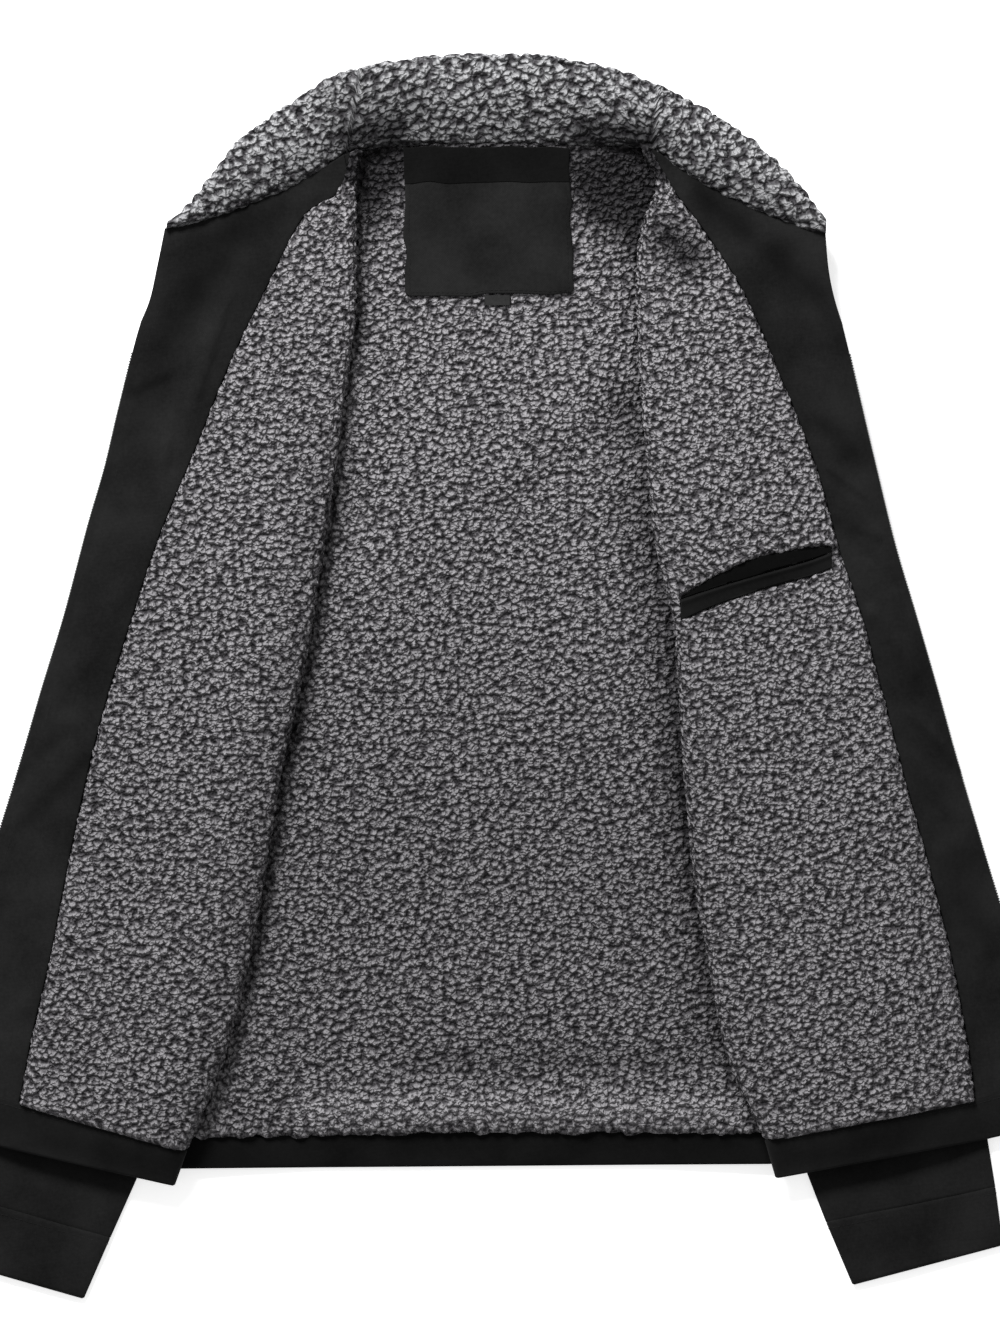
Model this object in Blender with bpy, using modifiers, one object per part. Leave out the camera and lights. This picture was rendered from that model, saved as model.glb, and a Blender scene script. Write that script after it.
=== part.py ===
"""A sherpa lined jacket, laid open on its back with both fronts turned outwards.

Run with blender --background --python part.py. Sizes are in millimetres until a
mesh is made, and the scene is in metres. +Z is up, +Y runs to the collar and +X
to the wearer's left. The jacket lies on z = 0.

The cloth is a stack of walls over one base height. From below: the sleeves,
folded behind the back; the back; the lower leg of each front, which reaches from
the side seam in to the fold; and the upper leg, turned back over it with its
sherpa and its facing up.
"""

import math
from collections import namedtuple

import bmesh
import bpy
import numpy as np
from mathutils import Matrix, Vector

MM = 0.001
NAME = "sherpa_lined_jacket"
CENTRE_SHIFT = (3.4, -0.1)  # moves the laid-out jacket over its origin

# Cloth thicknesses.
SHELL = 1.2
SHERPA = 6.5
FACING = 1.5
BAND = 3.5
UNDER_COLLAR = 1.2
PATCH = 1.3
TAB = 0.9
WELT = 1.6
SLEEVE_WALL = 2.0
SLEEVE_HIGH = 5.0
CUFF_WALL = 2.3
CUFF_HIGH = 5.8

# Gaps: at a seam, between a fold's two legs, and between a front and the back.
SEAM = 0.3
LAY = 0.7
FRONT_LAY = 0.9

# Heights of the layers above the base.
LINING_LOW = SHELL + SEAM
LINING_TOP = LINING_LOW + SHERPA
FOLD_IN = LAY / 2
SHELL_OUT = FOLD_IN + SHELL
LINING_IN = SHELL_OUT + SEAM
LINING_OUT = LINING_IN + SHERPA
BAND_OUT = FOLD_IN + BAND
FOLD_MID = LINING_TOP + FRONT_LAY + LINING_OUT
BAND_SAG = 8.5  # how far a front band sinks at its lower edge
BAND_LONG = 29.0  # the front band's height along the zip
SOFT_EDGE = 2.0  # how far a cut edge of sherpa rounds down
NECK_CORNER = 4.0  # the facing starts this far from the fold at the neck
LEG_REACH = 0.985  # the most of a front's width that its lower leg takes up

# The base height: the sleeves lift what lies on them.
LIFT = SLEEVE_HIGH + 0.6
LIFT_RAMP = 120.0

# An upper leg sinks onto the sleeve outside the side seam.
SINK_START = 4.0
SINK_RAMP = 80.0
SINK_REST = 0.7

# The zip beyond the edge of the cloth.
ZIP_TOP_ROW = 3.25
ZIP_FADE = 0.6
ZIP_MARGIN = 4.2
TEETH_WIDE = 1.9
TEETH_HIGH = 2.6
TEETH_END = 0.6  # the last tooth stays this far from the slider
LEFT_TEETH_ROW = 13.58  # the row where the pin takes over from the left teeth
TAPE_HIGH = 0.8
TAPE_LOW = 0.4

# Outlines. Each front has a row for each section, from the neck seam to the hem:
# its folded edge, the border of its sherpa, and the zip edge. The last row is
# the lower edge of the front band.
Row = namedtuple("Row", "fold_x fold_y border_x border_y edge_x edge_y")
RIGHT_ROWS = [
    Row(-90, 340, -99, 336, -210, 290),
    Row(-86, 315, -98, 314, -215, 265),
    Row(-86, 283, -120, 298, -220, 243),
    Row(-86, 238, -143, 254, -229, 220),
    Row(-93, 183, -167, 204, -241, 173),
    Row(-99, 134, -189, 150, -250, 135),
    Row(-107, 79, -213, 92, -261, 97),
    Row(-116, 23, -232, 35, -276, 40),
    Row(-125, -22, -248, -17, -291, -9),
    Row(-135, -68, -260, -64, -306, -60),
    Row(-145, -133, -273, -124, -324, -118),
    Row(-157, -194, -285, -186, -343, -179),
    Row(-172, -250, -297, -237, -358, -229),
    Row(-196, -309, -305, -278, -367, -261),
    Row(-204, -331, -315, -306, -375, -289),
]
LEFT_ROWS = [
    Row(105, 342, 114, 338, 218, 287),
    Row(108, 316, 120, 315, 220, 264),
    Row(98, 289, 138, 291, 224, 244),
    Row(95, 244, 165.8, 247, 232, 218),
    Row(98, 189, 189.8, 192, 242, 176),
    Row(102, 134, 211.8, 136, 252, 134),
    Row(108, 82, 226.8, 83, 264, 85),
    Row(119, 36, 241.8, 38, 278, 38),
    Row(123, -16, 255.8, -14, 292, -10),
    Row(126, -64, 268.8, -64, 306, -60),
    Row(132, -126, 285.8, -125, 324, -120),
    Row(142, -188, 300.8, -186, 343, -181),
    Row(155, -250, 311.8, -246, 361, -240),
    Row(179, -302, 315.8, -276, 368, -262),
    Row(186, -326, 322, -301, 375, -289),
]
HEM_ROW = 13
BAND_ROW = 14
SHERPA_ROW = 1
NECK_SAG = 6.5  # how far the neck seam bows down between the neck and the tip

# The back: its half width and middle at heights along it, from shoulder to hem.
Side = namedtuple("Side", "y half middle")
BACK_SIDES = [
    Side(290, 210, 4),
    Side(244, 214, 3),
    Side(179, 222, 1),
    Side(114, 235, 0),
    Side(56, 255, -1),
    Side(-16, 256, -3),
    Side(-146, 257, -5),
    Side(-320, 259, -8),
]
Line = namedtuple("Line", "x y")
BACK_NECK = [Line(-90, 340), Line(-58, 345), Line(0, 345), Line(60, 345), Line(105, 342)]
HEM_SEAM = [Line(-267, -288), Line(-194, -300), Line(-9, -297), Line(179, -297), Line(253, -285)]
HEM_EDGE = [Line(-267, -311), Line(-201, -320), Line(-58, -319), Line(183, -317), Line(253, -307)]

# The collar: neck seam, outer edge, and the height of its underside at both.
Collar = namedtuple("Collar", "seam_x seam_y edge_x edge_y seam_z edge_z")
COLLAR_ROWS = [
    Collar(-209, 291, -208, 296, 21, 20),
    Collar(-188, 295, -194, 307, 21, 18),
    Collar(-168, 300, -177, 329, 20, 14),
    Collar(-148, 308, -160, 350, 19, 9),
    Collar(-129, 316, -133, 369, 18, 5),
    Collar(-111, 327, -109, 386, 16, 3),
    Collar(-90, 341, -81, 396, 12, 2),
    Collar(-58, 346, -45, 402, 5, 1.7),
    Collar(-29, 346, -19, 404, 2.5, 1.7),
    Collar(1, 346, 7, 404, 2, 1.7),
    Collar(36, 346, 40, 403, 2.5, 1.7),
    Collar(72, 346, 75, 396, 5, 1.7),
    Collar(105, 343, 108, 385, 12, 2),
    Collar(124, 329, 137, 371, 16, 3),
    Collar(145, 315, 160, 356, 18, 6),
    Collar(166, 303, 179, 341, 19, 11),
    Collar(192, 293, 200, 320, 20, 16),
    Collar(218, 288, 218, 295, 21, 20),
]
COLLAR_HIGH = 11.0
COLLAR_SET = 0.9  # the collar's seam edge lies this far above the neck line
# Its section, once round: share of the way across, and share of the thickness.
Point = namedtuple("Point", "across up")
COLLAR_SECTION = [
    Point(0.00, 0.20),
    Point(0.10, 0.00),
    Point(0.30, 0.00),
    Point(0.50, 0.00),
    Point(0.70, 0.00),
    Point(0.88, 0.00),
    Point(0.98, 0.25),
    Point(1.00, 0.52),
    Point(0.96, 0.80),
    Point(0.82, 0.97),
    Point(0.50, 1.00),
    Point(0.20, 0.88),
    Point(0.05, 0.66),
]
UNDERSIDE = slice(1, 6)  # the section's points that the under collar follows

# A flattened sleeve: its inner and outer corner at cap, hem level, cuff and end.
Station = namedtuple("Station", "inner_x inner_y outer_x outer_y")
RIGHT_SLEEVE = [
    Station(-50, 153, -209, 269),
    Station(-229, -327, -350, -294),
    Station(-246, -365, -354, -335),
    Station(-263, -404, -361, -376),
]
LEFT_SLEEVE = [
    Station(53, 153, 214, 269),
    Station(207, -324, 324, -301),
    Station(219, -355, 329, -332),
    Station(236, -395, 334, -369),
]

# Soft ridges: both ends, width and height.
Ridge = namedtuple("Ridge", "x0 y0 x1 y1 wide high")
BACK_RIDGES = [
    Ridge(64, 182, 4, 130, 20, 4.0),
    Ridge(-90, -276, 150, -276, 18, 3.0),
    Ridge(-60, 60, -20, -60, 30, 1.5),
]
FRONT_RIDGES = [
    Ridge(-204, 252, -168, 176, 18, 2.6),
    Ridge(-150, 190, -120, 110, 22, 1.8),
    Ridge(-262, 0, -286, -86, 20, 1.6),
    Ridge(-230, -110, -210, -200, 26, 1.6),
    Ridge(172, 262, 224, 190, 18, 2.6),
    Ridge(150, 170, 132, 96, 22, 1.8),
    Ridge(262, -40, 306, -92, 18, 1.8),
    Ridge(214, -130, 250, -210, 26, 1.6),
]

# The patch and the tab inside the neck, and the inside pocket.
PATCH_TOP = (-55, 53, 344)
PATCH_FOOT = (-53, 56, 248)
TAB_TOP = (-3, 14, 247.2)
TAB_FOOT = (-3, 14, 240.6)
Pocket = namedtuple("Pocket", "x top mid low")
POCKET_ROWS = [
    Pocket(124, 51, 49.5, 36),
    Pocket(147, 65, 57, 46),
    Pocket(174, 77, 65, 55),
    Pocket(206, 83, 74, 64),
    Pocket(222, 84, 80, 70),
]

# How finely the walls are divided.
FRONT_STEPS = 17
SIDE_STEPS = 5
ARC_STEPS = 4
SHERPA_STEPS = 5
FACING_STEPS = 4
BACK_ROWS = 17
BACK_COLUMNS = 23
BAND_STEPS = 4
SLEEVE_ROUND = 16
SLEEVE_STEPS = 8
COLLAR_STEPS = 25
PATCH_STEPS = 5
ROD_SIDES = 16

# A flattened sleeve's section: how square its round sides are, across and up.
SQUARE_ACROSS = 0.75
SQUARE_UP = 0.35
CUFF_LONG = 40.0

# The zip's metal end pieces.
SLIDER_LONG = 13.0
SLIDER_PLATE = 1.2
SLIDER_SLOT = 4.0
SLIDER_INNER = -2.9
SLIDER_OUTER = 5.5
SLIDER_POST = (1.35, 2.65)
SLIDER_UP = 14.5  # from the end of the zip to the slider's middle
BOX_LONG = 7.0
BOX_WIDE = 5.0
BOX_HIGH = 3.4
BOX_ROUND = 0.5
PIN_LONG = 10.8
PIN_WIDE = 2.2
PIN_UP = 5.4  # from the end of the zip to the pin's middle
PIN_ROUND = 0.4
LUG_INSIDE = 2.9
LUG_THICK = 1.0
LUG_LONG = 3.2
BITE = 0.5  # how far one part of a casting runs into the next
BAR_DROP = 2.6
BAR_RADIUS = 0.8
EYE_BORE = 1.15
EYE_RADIUS = 1.9
PULL_WIDE = 5.0
PULL_LONG = 27.0
PULL_THICK = 1.4
PULL_INSET = 0.1  # the strip is this much narrower than its eye, each side
PULL_DIP = 8.6  # degrees below level, its tip on the surface
SLIDER_HOLD = 5.0  # the slider holds its corner of the front up by this
SLIDER_REACH = 40.0

Finish = namedtuple("Finish", "colour roughness metallic")
CANVAS = Finish((0.013, 0.013, 0.014), 0.9, 0.0)
TWILL = Finish((0.010, 0.010, 0.011), 0.85, 0.0)
PILE = Finish((0.115, 0.115, 0.118), 0.95, 0.0)
WOVEN = Finish((0.085, 0.085, 0.085), 0.8, 0.0)
TEETH = Finish((0.012, 0.012, 0.013), 0.35, 0.0)
METAL = Finish((0.05, 0.05, 0.055), 0.3, 1.0)


def smooth(value):
    """0 below 0, 1 above 1, and an even S curve between."""
    part = np.clip(value, 0.0, 1.0)
    return part * part * (3.0 - 2.0 * part)


def through(table, at):
    """Points of a smooth curve through a table's rows, at row numbers in at."""
    rows = np.array(table, float)
    last = len(rows) - 1
    first = np.clip(np.floor(at).astype(int), 0, last - 1)
    t = (at - first)[:, None]
    p0 = rows[np.maximum(first - 1, 0)]
    p1 = rows[first]
    p2 = rows[first + 1]
    p3 = rows[np.minimum(first + 2, last)]
    cubic = 3 * p1 - 3 * p2 + p3 - p0
    square = 2 * p0 - 5 * p1 + 4 * p2 - p3
    return p1 + 0.5 * t * (p2 - p0 + t * (square + t * cubic))


def unit(vectors):
    """Each row of an array at length one."""
    return vectors / np.linalg.norm(vectors, axis=-1, keepdims=True)


def segment_distance(x, y, x0, y0, x1, y1):
    """Distance from points to a segment in the plan."""
    run_x = x1 - x0
    run_y = y1 - y0
    t = ((x - x0) * run_x + (y - y0) * run_y) / (run_x**2 + run_y**2)
    t = np.clip(t, 0.0, 1.0)
    return np.hypot(x - x0 - t * run_x, y - y0 - t * run_y)


def sleeve_distance(x, y, sleeve):
    """Distance outside the part of a sleeve that cloth lies on, 0 over it."""
    cap = sleeve[0]
    end = sleeve[2]
    corners = [
        (cap.outer_x, cap.outer_y),
        (cap.inner_x, cap.inner_y),
        (end.inner_x, end.inner_y),
        (end.outer_x, end.outer_y),
    ]
    nearest = np.full(np.shape(x), np.inf)
    side = np.zeros(np.shape(x))
    for (x0, y0), (x1, y1) in zip(corners, corners[1:] + corners[:1]):
        nearest = np.minimum(nearest, segment_distance(x, y, x0, y0, x1, y1))
        side = side + np.sign((x1 - x0) * (y - y0) - (y1 - y0) * (x - x0))
    return np.where(np.abs(side) == len(corners), 0.0, nearest)


def ridges(x, y, table):
    """Height of the soft ridges in a table: a bell across each, fading at its ends."""
    height = np.zeros(np.shape(x))
    for ridge in table:
        away = segment_distance(x, y, ridge.x0, ridge.y0, ridge.x1, ridge.y1)
        height = height + ridge.high * np.exp(-((away / ridge.wide) ** 2))
    return height


def base(x, y):
    """Height that the cloth lies at: the rise over both sleeves, and the back's ridges."""
    right = smooth(1.0 - sleeve_distance(x, y, RIGHT_SLEEVE) / LIFT_RAMP)
    left = smooth(1.0 - sleeve_distance(x, y, LEFT_SLEEVE) / LIFT_RAMP)
    return LIFT * (1.0 - (1.0 - right) * (1.0 - left)) + ridges(x, y, BACK_RIDGES)


def side_seam(y, sign):
    """x of the side seam, on the wearer's right for sign -1 and left for +1."""
    rows = sorted(BACK_SIDES)
    at = [row.y for row in rows]
    middle = np.interp(y, at, [row.middle for row in rows])
    half = np.interp(y, at, [row.half for row in rows])
    return middle + sign * half


class Front:
    """The plan of one front: for each row its side seam, fold, border and edge."""

    def __init__(self, table, sign, at):
        self.sign = sign
        self.at = at
        points = through(table, at)
        over_hem = at > HEM_ROW
        hem = np.array(table[HEM_ROW], float)
        foot = np.array(table[BAND_ROW], float)
        points[over_hem] = hem + (at[over_hem, None] - HEM_ROW) * (foot - hem)
        self.fold = points[:, 0:2]
        self.border = points[:, 2:4]
        self.edge = points[:, 4:6]
        self.out = unit(self.edge - self.fold)
        self.inward = unit(self.border - self.fold)
        margin = ZIP_MARGIN * smooth((at - ZIP_TOP_ROW) / ZIP_FADE + 1.0)
        self.cloth_edge = self.edge - self.out * margin[:, None]
        self.sag = NECK_SAG * np.clip(1.0 - at / 2.0, 0.0, 1.0) ** 2
        below_neck = smooth(at / SHERPA_ROW * 2.0 - 1.0)[:, None]
        corner = self.fold + self.inward * NECK_CORNER
        self.facing_start = corner + (self.border - corner) * below_neck
        roll = SHELL_OUT + 0.5 + (LINING_OUT - SHELL_OUT - 0.5) * below_neck
        self.centre = self.fold + self.inward * roll
        self.middle = np.full(len(at), FOLD_MID)

    def seat_band(self):
        """Draws the folded edge in to the band's own roll, and lets the band sag."""
        self.centre = self.fold + self.inward * BAND_OUT
        self.middle = FOLD_MID - BAND_SAG * smooth(self.at - HEM_ROW)

    def bowed(self, points, share):
        """Points moved down by the bow of the neck seam, at a share across."""
        moved = points.copy()
        moved[..., 1] -= self.sag[:, None] * 4.0 * share * (1.0 - share)
        return moved

    def lower_plan(self, steps, gap):
        """Plan of the lower leg, from the side seam in to the fold's centre."""
        run = self.edge - self.fold
        seam = self.edge.copy()
        for _ in range(6):
            reach = (side_seam(seam[:, 1], self.sign) - self.fold[:, 0]) / run[:, 0]
            seam = self.fold + run * np.minimum(reach, LEG_REACH)[:, None]
        seam = seam - self.out * gap
        share = np.linspace(1.0, 0.0, steps + 1)[None, :]
        points = self.centre[:, None] + (seam - self.centre)[:, None] * share[..., None]
        return self.bowed(points, share)

    def upper_plan(self, gap):
        """Plan of the upper leg: sherpa columns up to the border, then facing columns."""
        to_border = np.linspace(0.0, 1.0, SHERPA_STEPS + 1)[None, :, None]
        to_edge = np.linspace(0.0, 1.0, FACING_STEPS + 1)[None, :, None]
        start = self.facing_start - self.inward * gap
        first = self.centre[:, None] + (start - self.centre)[:, None] * to_border
        begin = self.facing_start + self.out * gap
        second = begin[:, None] + (self.cloth_edge - begin)[:, None] * to_edge
        return first, self.bowed(second, to_edge[..., 0])

    def sunk(self, x, y):
        """Share of the way that the upper leg has sunk onto the sleeve."""
        beyond = self.sign * (x - side_seam(y, self.sign))
        return smooth((beyond - SINK_START) / SINK_RAMP)

    def upper_height(self, plan, radius):
        """Height of the upper leg's surface at a radius of the fold."""
        x = plan[..., 0]
        y = plan[..., 1]
        sunk = self.sunk(x, y)
        rest = SINK_REST
        if self.sign < 0:
            end = RIGHT_ROWS[BAND_ROW]
            near = np.hypot(x - end.edge_x, y - end.edge_y) / SLIDER_REACH
            rest = rest + SLIDER_HOLD * np.exp(-(near**2))
        high = (self.middle[:, None] + FOLD_IN) * (1.0 - sunk) + rest * sunk
        folds = ridges(x, y, FRONT_RIDGES)
        return base(x, y) + folds + high + radius - FOLD_IN

    def lower_height(self, plan, radius):
        """Height of the lower leg's surface at a radius of the fold."""
        return base(plan[..., 0], plan[..., 1]) + self.middle[:, None] - radius

    def roll(self, radius):
        """The half turn of the fold at a radius, from the lower leg to the upper."""
        angles = np.linspace(-math.pi / 2, math.pi / 2, ARC_STEPS + 1)[1:-1]
        shift = self.inward[:, None] * (radius * np.cos(angles))[None, :, None]
        plan = self.centre[:, None] - shift
        height = base(plan[..., 0], plan[..., 1]) + self.middle[:, None]
        folds = ridges(plan[..., 0], plan[..., 1], FRONT_RIDGES)
        blend = (0.5 + 0.5 * np.sin(angles))[None, :]
        return raised(plan, height + folds * blend + radius * np.sin(angles)[None, :])


def raised(plan, height):
    """Plan points with their heights, as one array of corners."""
    return np.concatenate([plan, np.asarray(height)[..., None]], axis=-1)


def leg_surface(front, radius, gap, sherpa_only, soft):
    """One surface of a folded front: lower leg, roll, then upper leg."""
    lower_plan = front.lower_plan(SIDE_STEPS, gap)
    lower = raised(lower_plan, front.lower_height(lower_plan, radius))
    first, second = front.upper_plan(SEAM / 2)
    upper_plan = first if sherpa_only else np.concatenate([first, second], axis=1)
    height = front.upper_height(upper_plan, radius)
    height[:, -1] -= soft
    height[-1, :] -= soft
    upper = raised(upper_plan, height)
    return np.concatenate([lower, front.roll(radius), upper], axis=1)


def plain_material(name, finish):
    """A Principled material with one colour, roughness and metallic value."""
    material = bpy.data.materials.new(name)
    material.use_nodes = True
    shader = material.node_tree.nodes["Principled BSDF"]
    shader.inputs["Base Color"].default_value = (*finish.colour, 1.0)
    shader.inputs["Roughness"].default_value = finish.roughness
    shader.inputs["Metallic"].default_value = finish.metallic
    material.diffuse_color = (*finish.colour, 1.0)
    return material


def piece(name, mesh, finish):
    """A named object with its own material, in the jacket's collection."""
    mesh.name = name
    mesh.materials.append(plain_material(name, finish))
    obj = bpy.data.objects.new(name, mesh)
    bpy.data.collections[NAME].objects.link(obj)
    return obj


def closed_mesh(points, triangles):
    """A mesh from corners in millimetres, its faces turned outwards."""
    centred = points + np.array([*CENTRE_SHIFT, 0.0])
    mesh = bpy.data.meshes.new("cloth")
    mesh.from_pydata((centred * MM).tolist(), [], triangles)
    work = bmesh.new()
    work.from_mesh(mesh)
    bmesh.ops.recalc_face_normals(work, faces=work.faces)
    work.to_mesh(mesh)
    work.free()
    return mesh


def grid_triangles(numbers):
    """Two triangles for each cell of a grid of corner numbers."""
    a = numbers[:-1, :-1].ravel()
    b = numbers[:-1, 1:].ravel()
    c = numbers[1:, 1:].ravel()
    d = numbers[1:, :-1].ravel()
    return np.concatenate([np.stack([a, b, c], 1), np.stack([a, c, d], 1)])


def wall(name, low, high, finish):
    """A closed cloth wall between two grids of the same rows and columns."""
    rows, columns = low.shape[:2]
    under = np.arange(rows * columns).reshape(rows, columns)
    over = under + rows * columns
    rim = np.concatenate([under[0], under[1:, -1], under[-1, -2::-1], under[-2:0:-1, 0]])
    rim = np.append(rim, rim[0])
    sides = np.stack([rim, rim + rows * columns])
    parts = [grid_triangles(under), grid_triangles(over), grid_triangles(sides)]
    points = np.concatenate([low.reshape(-1, 3), high.reshape(-1, 3)])
    return piece(name, closed_mesh(points, np.concatenate(parts).tolist()), finish)


def tube(name, outer, inner, finish):
    """A flattened sleeve wall: rings of the outer and inner side, open at both ends."""
    rings, around = outer.shape[:2]
    numbers = np.arange(rings * around).reshape(rings, around)
    closed = np.concatenate([numbers, numbers[:, :1]], axis=1)
    inside = closed + rings * around
    top = np.stack([closed[0], inside[0]])
    foot = np.stack([closed[-1], inside[-1]])
    parts = [grid_triangles(part) for part in (closed, inside, top, foot)]
    points = np.concatenate([outer.reshape(-1, 3), inner.reshape(-1, 3)])
    return piece(name, closed_mesh(points, np.concatenate(parts).tolist()), finish)


def loft(name, rings, finish):
    """A closed solid through rings, with a flat cap at each end."""
    count, around = rings.shape[:2]
    numbers = np.arange(count * around).reshape(count, around)
    closed = np.concatenate([numbers, numbers[:, :1]], axis=1)
    faces = grid_triangles(closed).tolist()
    faces += [numbers[0].tolist(), numbers[-1].tolist()]
    return piece(name, closed_mesh(rings.reshape(-1, 3), faces), finish)


def fronts():
    """Both fronts: shell, sherpa, facing and band, each folded over as one wall."""
    near_neck = np.array([0.0, 0.5])
    below = np.linspace(SHERPA_ROW, HEM_ROW, FRONT_STEPS)
    whole = np.concatenate([near_neck, below])
    for side, table, sign in (("right", RIGHT_ROWS, -1), ("left", LEFT_ROWS, 1)):
        front = Front(table, sign, whole)
        inner = leg_surface(front, FOLD_IN, 0.0, False, 0.0)
        outer = leg_surface(front, SHELL_OUT, 0.0, False, 0.0)
        shell_low, shell_high = with_side_wall(inner, outer, front)
        wall(f"{side}_front_shell", shell_low, shell_high, CANVAS)
        sherpa = Front(table, sign, below)
        inside = leg_surface(sherpa, LINING_IN, SEAM, True, 0.0)
        outside = leg_surface(sherpa, LINING_OUT, SEAM, True, SOFT_EDGE)
        wall(f"{side}_front_lining", inside, outside, PILE)
        facing(side, front)
        band(side, table, sign)


def with_side_wall(inner, outer, front):
    """Turns a front shell's free edge down at the side seam, to meet the back's."""
    out = np.append(front.out.T, [np.zeros(len(front.at))], axis=0).T
    foot_z = base(inner[:, 0, 0], inner[:, 0, 1]) + LINING_TOP + LAY
    over = inner[:, :1] + out[:, None] * SHELL
    inner_foot = over.copy()
    inner_foot[..., 2] = foot_z[:, None]
    outer_foot = outer[:, :1].copy()
    outer_foot[..., 2] = foot_z[:, None]
    low = np.concatenate([inner_foot, over, inner[:, 1:]], axis=1)
    high = np.concatenate([outer_foot, outer], axis=1)
    return low, high


def facing(side, front):
    """The facing, lying on the shell's points from the sherpa to the zip edge."""
    _, plan = front.upper_plan(SEAM / 2)
    low = raised(plan, front.upper_height(plan, SHELL_OUT + SEAM))
    high = raised(plan, front.upper_height(plan, SHELL_OUT + SEAM + FACING))
    wall(f"{side}_front_facing", low, high, CANVAS)


def band(side, table, sign):
    """The front band, folded with the front and sagging towards the hem."""
    start = HEM_ROW + SEAM / BAND_LONG * 1.5
    front = Front(table, sign, np.linspace(start, BAND_ROW, BAND_STEPS))
    front.seat_band()
    inner = leg_surface(front, FOLD_IN, 0.0, False, 0.0)
    outer = leg_surface(front, BAND_OUT, 0.0, False, 0.0)
    wall(f"{side}_front_band", inner, outer, CANVAS)


def back_grid(gap, top, foot):
    """Plan of the back between the neck and shoulders, two sides, and a lower line."""
    share = np.linspace(-1.0, 1.0, BACK_COLUMNS)[None, :]
    down = np.linspace(0.0, 1.0, BACK_ROWS)[:, None]
    first = BACK_SIDES[0]
    across = first.middle + first.half * share
    top_y = top(across)
    foot_side = side_seam(foot[0].y, -1), side_seam(foot[-1].y, 1)
    foot_x = np.interp(share, (-1.0, 1.0), foot_side)
    foot_y = np.interp(foot_x, [p.x for p in foot], [p.y for p in foot])
    y = top_y + (foot_y - top_y) * down
    right = side_seam(y, -1) + gap
    left = side_seam(y, 1) - gap
    x = right + (left - right) * (share + 1.0) / 2.0
    return np.stack([x, y], axis=-1)


def neck_line(x):
    """y of the back's upper edge: shoulder seams bowed as the fronts, and the neck."""
    share = np.linspace(1.0, 0.0, 7)
    xs = []
    ys = []
    for row in (RIGHT_ROWS[0], LEFT_ROWS[0]):
        line_x = row.fold_x + (row.edge_x - row.fold_x) * share
        line_y = row.fold_y + (row.edge_y - row.fold_y) * share
        xs.append(line_x)
        ys.append(line_y - NECK_SAG * 4.0 * share * (1.0 - share))
    neck = BACK_NECK[1:-1]
    all_x = np.concatenate([xs[0], [p.x for p in neck], xs[1][::-1]])
    all_y = np.concatenate([ys[0], [p.y for p in neck], ys[1][::-1]])
    return np.interp(x, all_x, all_y)


def back():
    """The back's shell, sherpa and band."""
    plan = back_grid(0.0, neck_line, HEM_SEAM)
    ground = base(plan[..., 0], plan[..., 1])
    low = raised(plan, ground)
    high = raised(plan, ground + SHELL)
    turned = ground[:, [0, -1]] + LINING_TOP
    first = low[:, :1].copy()
    last = low[:, -1:].copy()
    for wall_foot, sign, column in ((first, -1, 0), (last, 1, 1)):
        wall_foot[..., 0] += sign * SHELL
        wall_foot[..., 2] = turned[:, column : column + 1]
    low_first = first.copy()
    low_last = last.copy()
    low_first[..., 2] = ground[:, :1]
    low_last[..., 2] = ground[:, -1:]
    high_first = high[:, :1].copy()
    high_last = high[:, -1:].copy()
    high_first[..., 2] = first[..., 2]
    high_last[..., 2] = last[..., 2]
    low = np.concatenate([first, low_first, low[:, 1:-1], low_last, last], axis=1)
    high = np.concatenate([high_first, high, high_last], axis=1)
    wall("back_shell", low, high, CANVAS)
    inner = back_grid(SEAM, neck_line, HEM_SEAM)
    ground = base(inner[..., 0], inner[..., 1])
    top = ground + LINING_TOP
    top[-1, :] -= SOFT_EDGE
    wall("back_lining", raised(inner, ground + LINING_LOW), raised(inner, top), PILE)
    back_band(plan[-1])


def back_band(seam):
    """The back band, from the hem seam to the lower edge."""
    foot_y = np.interp(seam[:, 0], [p.x for p in HEM_EDGE], [p.y for p in HEM_EDGE])
    top = seam[:, 1] - SEAM
    share = np.array([0.0, 0.5, 1.0])[:, None]
    y = top + (foot_y - top) * share
    plan = np.stack([np.broadcast_to(seam[:, 0], y.shape), y], axis=-1)
    ground = base(plan[..., 0], plan[..., 1])
    wall("back_band", raised(plan, ground), raised(plan, ground + BAND), CANVAS)


def flat_rings(stations, high, cut):
    """Flattened oval rings of a sleeve or cuff, each drawn in all round by a cut."""
    angle = np.linspace(0.0, math.pi, SLEEVE_ROUND // 2 + 1)[:-1]
    along = -np.cos(angle)
    across = np.sign(along) * np.abs(along) ** SQUARE_ACROSS
    up = np.sin(angle) ** SQUARE_UP
    across = np.concatenate([across, -across])
    height = high / 2.0 + np.concatenate([up, -up]) * (high / 2.0 - cut)
    rings = []
    for station in stations:
        inner = station[0:2]
        outer = station[2:4]
        half = np.linalg.norm(outer - inner) / 2.0 - cut
        plan = (inner + outer) / 2.0 + unit(outer - inner) * across[:, None] * half
        rings.append(np.column_stack([plan, height]))
    return np.array(rings)


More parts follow.
